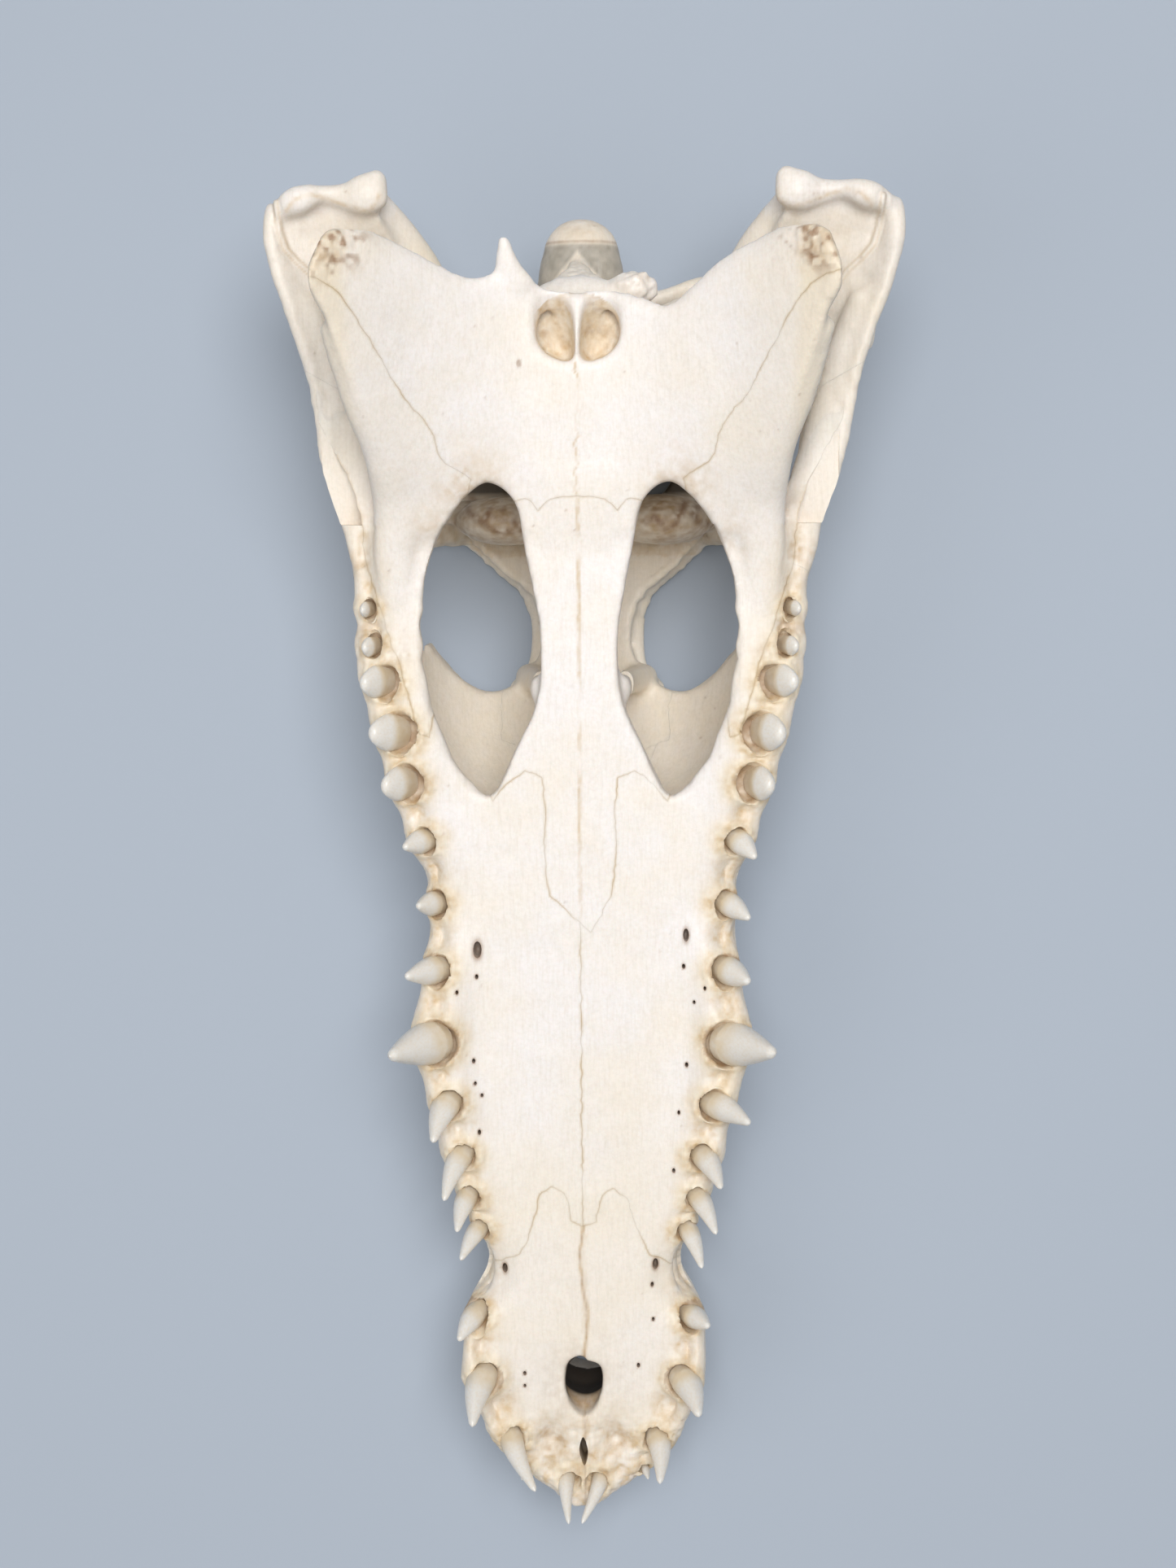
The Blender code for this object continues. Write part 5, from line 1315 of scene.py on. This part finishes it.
def stain_and_shade_front(p, mottle, add):
    """The way through to the nostrils, the slit before it, the rough front and the crack behind, with
    painted shade deep in the hole and the slit.
    """
    x, y, z = p.T
    side = np.abs(x)
    through_hole = (side < 13) * within(y, 24, 58) * (z > -34) * ramp(-z, 1.2, 2)
    # Painted shade: near black deep in the way through to the nostrils, where the floor under the skull is
    # in shadow.
    add("dark", 0.95 * through_hole * np.clip(np.maximum((y - 35.6) / 1.5, (-9 - z) / 2.5), 0, 1))
    add("tan", (side < 9) * within(y, 29, 37) * (z > -12) * np.clip((-2.5 - z) / 2, 0, 0.9))
    # Browner further into the front of the hole: painted shade, mixed with brown stain.
    add("brown", (side < 8) * within(y, 29, 37.5) * (z > -14) * ramp(-z, 1.5, 2.5) * (0.25 + 0.4 * mottle))
    slit = (side < 2.2) * within(y, 13, 25.5) * (z > -16)
    # Painted shade: darker further into the slit.
    add("dark", 0.75 * slit * ramp(-z, 3, 3))
    add("tan", slit * ramp(-z, 0.5, 2))
    add("tan", ramp(-y, -32, 8) * (z > -22) * np.clip(mottle * 1.9 - 0.5, 0, 0.95))
    away = near_line(p, FISSURE)
    add("tan", 0.85 * soft(away, 0.55) * (z > -6))
    add("brown", 0.55 * soft(away, 0.3) * (z > -6))
    add("brown", 0.5 * soft(near_line(p, FRONT_CRACK), 0.35) * (z > -12))


def stain_and_shade_tooth_rows(p, mottle, add):
    """The sockets, the bone round them and the hollows beside the teeth, with painted shade deep in the
    sockets.
    """
    x, y, z = p.T
    for sign, number, across, back, level, radius, row in sockets():
        near = np.abs(z - level) < NEAR_GUM
        away = np.hypot(x - across, y - back) - radius
        out = np.maximum(away, 0)
        add("brown", near * soft(out, 0.8) * (0.08 + 0.45 * patchy(mottle, 1.9, 0.75)))
        # Browner deeper in the socket, round the tooth: painted shade mixed with brown stain.
        add("brown", near * ramp(-z, 0.9 - level, 2.2) * (away < 0.6) * (0.45 + 0.4 * mottle))
        add("cream", near * soft(out, 4.0))
        add("tan", near * soft(out, 3.2) * patchy(mottle, 1.9, 0.35))
    for x0, y0, half_x, half_y, _ in hollows():
        here = (x0 * x > 0) * (np.abs(z - through(GUM_HEIGHT, y)) < NEAR_GUM)
        r = np.hypot((x - x0) / half_x, (y - y0) / half_y)
        add("tan", here * 0.95 * soft(r, 1.1) * patchy(mottle, 1.9, 0.35))


def stain_and_shade_places(p, mottle, add):
    """The places where brownish colour has soaked in, three of them painted shade in the way to the nostrils
    and in the slit, the small holes with painted shade inside them, and specks.
    """
    x, y, z = p.T
    # Brown stain at each place, and painted shade at the three inside the front holes.
    for place, reach, amount in BROWN_STAIN_AND_SHADE_PLACES:
        r = distance(p, place, (1, 1, 0.8))
        add("brown", amount * soft(r, reach) * patchy(mottle, 1.6, 0.35))
        if place[1] > BEHIND_FRONT:
            add("tan", 1.3 * amount * soft(r, 1.5 * reach) * patchy(mottle, 1.5, 0.1))
    for across, back, half_x, half_y in FORAMINA:
        r = np.hypot((x - across) / half_x, (y - back) / half_y)
        sunk = palate_level(across, back) - 0.7 - z
        add("brown", (z > -10) * soft(np.maximum(r - 0.9, 0), 0.5) * 0.8)
        # Painted shade inside each small hole, darker as it sinks.
        add("dark", 0.6 * (r < 1.3) * np.clip(sunk, 0, 1) * (sunk < 6))
    add("brown", 0.55 * soft(pits(p, 5.2, 61), 0.075) * (lattice(p, 9, 62) > 0.1))
    tips = np.max([soft(distance(p, tip, (1, 1, 0.6)), 5.5) for tip in WING_TIPS], axis=0)
    specks = np.clip(1.7 * lattice(p, 1.5, 66) + 1.1 * lattice(p, 3.4, 67) - 0.05, 0, 1)
    add("brown", np.minimum(1.5 * tips, 1) * specks)


def stain_and_shade_rear(p, mottle, add):
    """The openings at the back, the wall behind the fenestrae with painted shade deep on it, the jaw joints
    and the neck's band.
    """
    x, y, z = p.T
    side = np.abs(x)
    scoop = (np.hypot(x / 12.6, (y - 354.5) / 10) < 1) * ramp(plate_level(0, y) - z, 0.2, 2) * (z > -12)
    add("tan", scoop * (0.45 + 0.5 * mottle))
    add("brown", 0.5 * scoop * patchy(mottle, 1.9, 0.9))
    wall = within(z, -77.6, -32) * within(y, 288, 316) * within(side, 10, 47)
    add("tan", wall * (0.25 + 0.4 * mottle))
    for line in WALL_STAINS:
        add("brown", wall * soft(near_line(p, line), 1.5) * patchy(mottle, 2.6, 0.3))
    # Painted shade: near black on the wall's deep back part, behind the fenestrae.
    add("dark", 0.85 * wall * ramp(y, 306.8, 1.6) * ramp(-y, -316, 4) * (side < 38))
    specks = soft(pits(p, 1.7, 72), 0.33) * np.clip(lattice(p, 4, 73) + 0.5, 0, 1)
    for place in RIGHT_JOINT:
        add("brown", 0.8 * soft(distance(p, place), 4.5) * specks)
    joint = soft(np.hypot((side - 70) / 14, (y - 380) / 11), 1) * within(z, -45, -12)
    add("tan", 0.3 * joint * (0.4 + 0.6 * mottle))
    add("brown", 0.5 * joint * soft(pits(p, 6.5, 71), 0.2))
    for away in both_lines(p, JOINT_BORDER):
        add("tan", within(z, -24, -7) * soft(away, 0.7) * (0.3 + 0.5 * mottle))
    low, high, deep = NECK_BAND
    neck = (side < 15) * (z < deep)
    grey = ramp(-y, -high, 1.2) * ramp(y, low, 2) * neck * (z > -62)
    grey *= np.clip((np.abs(x + 1) - 0.85 * (378.5 - y)) / 1.4, 0, 1) * (0.65 + 0.35 * mottle)
    add("grey", grey)
    add("brown", 0.4 * grey * ramp(y, high - 3.5, 2) * mottle)
    add("brown", 0.6 * soft(y - high - 0.2, 0.5) * neck * (z > -60))


def stain_cream(p, mottle, add):
    """The creamier bone inside the face, along its edges, round the back openings and on the wings."""
    x, y, z = p.T
    side = np.abs(x)
    width = through(JAW_HALF_WIDTH, y)
    add("cream", 0.75 * ramp(-z, 6, 12) * (y > 215) * (side < width - 6) * (0.6 + 0.4 * mottle))
    add("cream", 0.4 * ramp(side, 52, 12) * ramp(y, 225, 30))
    add("cream", 0.5 * ramp(side, 0.78 * width, 4) * (y < 300))
    add("cream", 0.8 * soft(np.hypot(x * 0.8, y - 354), 13) * (z < 5))
    add("cream", ramp(z, 20, 12) * 0.3)
    add("cream", 0.8 * ramp(side, 57, 5) * (z > 4) * (y > 305))


def stains_and_shade(p):
    """How much of each colour lies at each point of the bone, from 0 to 1: stained colour and painted shade.
    """
    found = {name: np.zeros(len(p)) for name in STAIN_AND_SHADE_LAYERS}
    mottle = 0.5 + 0.35 * lattice(p, 3.1, 51) + 0.3 * lattice(p, 1.2, 52)

    def add(name, amount):
        found[name] = np.maximum(found[name], amount)

    for painter in (stain_and_shade_front, stain_and_shade_tooth_rows, stain_and_shade_places, stain_and_shade_rear, stain_cream):
        painter(p, mottle, add)
    x, y, z = p.T
    found["cream"] *= 1 - 0.8 * ramp(y, 387, 3) * (np.abs(x) > 54)
    add("cream", 0.4 * ramp(-y, -150, 60))
    found["cream"] += 0.18 * lattice(p, 14, 63)
    for line in palate_sutures():
        add("suture", soft(near_line(p, line), 0.3) * (z > -10))
    for away in both_lines(p, JOINT_RIDGE):
        add("suture", 0.8 * soft(away - 0.7, 0.4) * (z > -26))
    found["suture"] *= 0.5 + 0.5 * lattice(p, 7, 64)
    for place, reach in GLOSSY_PLACES:
        add("gloss", soft(distance(p, place), reach))
    found["gloss"] *= np.clip(0.5 + lattice(p, 3.0, 65), 0, 1)
    return found


def mark(obj, amounts):
    for name, values in amounts.items():
        layer = obj.data.attributes.new(name, "FLOAT", "POINT")
        layer.data.foreach_set("value", np.clip(values, 0, 1).astype(np.float32))


def laid(obj):
    """Lays the object down as the part lies and turns it into metres."""
    turn = Matrix.Rotation(math.radians(REST_TILT), 4, "X")
    obj.data.transform(Matrix.Translation(REST_SHIFT) @ turn)
    obj.data.transform(Matrix.Scale(MM, 4))


def cut_flat(obj):
    """Cuts the small flat where the bone rests."""
    p = vectors_of(obj)
    if p[:, 2].min() < 0:
        p[:, 2] = np.maximum(p[:, 2], 0)
        move_to(obj, p)


class Shader:
    """Small helpers to build a material's nodes."""

    def __init__(self, name):
        self.material = bpy.data.materials.new(name)
        self.material.use_nodes = True
        self.tree = self.material.node_tree
        self.body = self.tree.nodes["Principled BSDF"]

    def node(self, kind, out, values, **settings):
        """A new node with its settings and inputs, as its output socket."""
        node = self.tree.nodes.new("ShaderNode" + kind)
        for name, value in settings.items():
            setattr(node, name, value)
        for name, value in values.items():
            self.put(node.inputs[name], value)
        return node.outputs[out]

    def amount(self, name):
        return self.node("Attribute", "Fac", {}, attribute_name=name)

    def noise(self, scale, detail=3.0, rough=0.55, stretch=(1, 1, 1)):
        place = self.node("TexCoord", "Object", {})
        if stretch != (1, 1, 1):
            place = self.node("Mapping", "Vector", {"Vector": place, "Scale": stretch})
        values = {"Vector": place, "Scale": scale, "Detail": detail, "Roughness": rough}
        return self.node("TexNoise", "Fac", values)

    def span(self, value, low, high, to_low, to_high):
        values = {"Value": value, "From Min": low, "From Max": high, "To Min": to_low, "To Max": to_high}
        return self.node("MapRange", "Result", values)

    def times(self, one, other):
        return self.node("Math", 0, {0: one, 1: other}, operation="MULTIPLY")

    def blend(self, share, one, other):
        return self.node("Mix", 2, {0: share, 6: one, 7: other}, data_type="RGBA")

    def bump(self, height, depth, strength, under=None):
        values = {"Height": height, "Distance": depth, "Strength": strength}
        if under:
            values["Normal"] = under
        return self.node("Bump", "Normal", values)

    def put(self, socket, value):
        if isinstance(value, bpy.types.NodeSocket):
            self.tree.links.new(value, socket)
        elif isinstance(value, tuple):
            socket.default_value = (*value, 1) if socket.type == "RGBA" else value
        else:
            socket.default_value = value

    def set(self, **values):
        for name, value in values.items():
            self.put(self.body.inputs[name.replace("_", " ")], value)


def bone_material(name, base, creamy):
    s = Shader(name)
    patches = s.span(s.noise(45, 4), 0.4, 0.68, 0.0, 0.35)
    colour = s.blend(patches, base, creamy)
    colour = s.blend(s.amount("cream"), colour, creamy)
    uneven = s.span(s.noise(420, 5), 0.35, 0.65, 0.35, 1.0)
    colour = s.blend(s.times(s.amount("tan"), uneven), colour, TAN_TONE)
    fibres = s.span(s.noise(1.0, 4, 0.6, (1300, 90, 900)), 0.45, 0.72, 0.0, 0.22)
    colour = s.blend(fibres, colour, SHADOW_TONE)
    fine = s.span(s.noise(900, 2), 0.4, 0.75, 0.0, 0.2)
    colour = s.blend(fine, colour, SHADOW_TONE)
    colour = s.blend(s.times(s.amount("suture"), 0.85), colour, SUTURE_TONE)
    streaks = s.span(s.noise(300, 5), 0.35, 0.65, 0.6, 1.0)
    # Brown stain, and painted shade deep in the nostril passage, the slit and the sockets.
    colour = s.blend(s.times(s.amount("brown"), streaks), colour, BROWN_STAIN_AND_SHADE_TONE)
    colour = s.blend(s.times(s.amount("grey"), 0.85), colour, GREY_TONE)
    # Painted shade: near black in the holes, the slit and the deep recesses.
    colour = s.blend(s.amount("dark"), colour, PAINTED_SHADE_TONE)
    s.set(Base_Color=colour, Metallic=0.0, IOR=1.5)
    s.set(Roughness=s.span(s.amount("gloss"), 0.0, 1.0, 0.5, 0.12))
    s.set(Subsurface_Weight=0.12, Subsurface_Radius=(1.0, 0.62, 0.4), Subsurface_Scale=0.0022)
    grain = s.bump(s.noise(1500, 3), 0.0002, 0.2)
    grain = s.bump(s.noise(1.0, 3, 0.5, (1300, 120, 900)), 0.0003, 0.16, grain)
    s.set(Normal=s.bump(s.noise(380, 3), 0.0005, 0.16, grain))
    return s.material


def enamel_material():
    s = Shader("enamel")
    high = s.amount("tip")
    colour = s.blend(high, ROOT_TONE, ENAMEL_TONE)
    cloudy = s.span(s.noise(260, 3), 0.4, 0.7, 0.0, 0.35)
    colour = s.blend(cloudy, colour, MILKY_TONE)
    streaks = s.span(s.noise(1.0, 3, 0.5, (1500, 1500, 110)), 0.42, 0.7, 0.0, 0.3)
    colour = s.blend(streaks, colour, ROOT_TONE)
    s.set(Base_Color=colour, Metallic=0.0, IOR=1.55, Roughness=0.33)
    s.set(Subsurface_Weight=0.3, Subsurface_Radius=(1.0, 0.85, 0.7), Subsurface_Scale=0.003)
    s.set(Normal=s.bump(s.noise(700, 2), 0.0002, 0.15))
    return s.material


def camera():
    """The camera that the photo was taken with, worked out in the skull's frame and laid down with it."""
    a, b, c = (math.radians(v) for v in (CAMERA_TILT, CAMERA_SIDE, CAMERA_ROLL))
    turn = Matrix.Rotation(a, 4, "X") @ Matrix.Rotation(b, 4, "Y") @ Matrix.Rotation(c, 4, "Z")
    back = turn.col[2].xyz * CAMERA_DISTANCE
    place = Matrix.Translation([t + v for t, v in zip(CAMERA_TARGET, back)])
    pose = Matrix.Translation(REST_SHIFT) @ Matrix.Rotation(math.radians(REST_TILT), 4, "X")
    world = pose @ place @ turn
    world.translation *= MM
    data = bpy.data.cameras.new("camera")
    data.sensor_width = 36
    data.sensor_fit = "AUTO"
    data.lens = CAMERA_LENS
    data.clip_start = 0.01
    obj = linked("camera", data)
    obj.matrix_world = world
    bpy.context.scene.camera = obj


def floor():
    s = Shader("floor")
    s.set(Base_Color=FLOOR_TONE, Roughness=0.85, Metallic=0.0)
    mesh = bpy.data.meshes.new("floor")
    corners = [(x * FLOOR_REACH, y * FLOOR_REACH, 0) for x, y in ((-1, -1), (1, -1), (1, 1), (-1, 1))]
    mesh.from_pydata(corners, [], [(0, 1, 2, 3)])
    mesh.materials.append(s.material)
    obj = linked("floor", mesh)


def light(name, place, size, power):
    """A soft round lamp that points at the middle of the skull."""
    data = bpy.data.lights.new(name, "AREA")
    data.shape = "DISK"
    data.size = size
    data.energy = power
    obj = linked(name, data)
    obj.location = place
    obj.rotation_euler = (Vector(LIGHT_TARGET) - Vector(place)).to_track_quat("-Z", "Y").to_euler()


def lights():
    world = bpy.data.worlds.new("studio")
    world.use_nodes = True
    inputs = world.node_tree.nodes["Background"].inputs
    inputs["Color"].default_value = (1, 1, 1, 1)
    inputs["Strength"].default_value = WORLD_STRENGTH
    bpy.context.scene.world = world
    bpy.context.scene.view_settings.view_transform = "Standard"
    for row in LIGHTS:
        light(*row)


def placed(obj, node, material):
    """Puts a finished piece in the frame in place of its CAD node."""
    laid(obj)
    obj.data.materials.clear()
    obj.data.materials.append(material)
    obj.data.shade_smooth()
    obj.data.set_sharp_from_angle(angle=math.radians(SHARP_EDGE))
    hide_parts(node)
    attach(obj, "root")


def main():
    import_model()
    ivory = bone_material("bone_ivory", IVORY, CREAM)
    creamy = bone_material("bone_cream", PALE_CREAM, DEEP_CREAM)
    enamel = enamel_material()
    for name, obj in bones(whole_bone()).items():
        mark(obj, stains_and_shade(vectors_of(obj)))
        cream = name.startswith(CREAM_BONES)
        obj.name = name + "_bone"
        placed(obj, name, creamy if cream else ivory)
        cut_flat(obj)
    for side, sign in SIDES:
        for number, row in enumerate(TEETH):
            obj, base, tip = tooth(sign, number, row)
            grown = np.clip((vectors_of(obj) - base) @ (tip - base) / ((tip - base) @ (tip - base)), 0, 1)
            mark(obj, {"tip": grown * 4 - 0.2})
            obj.name = f"tooth_{side}_{number + 1:02d}"
            home = "premaxillae" if row[0] < LAST_FRONT_TOOTH else "maxilla_" + side
            placed(obj, home, enamel)
    floor()
    lights()
    camera()


main()
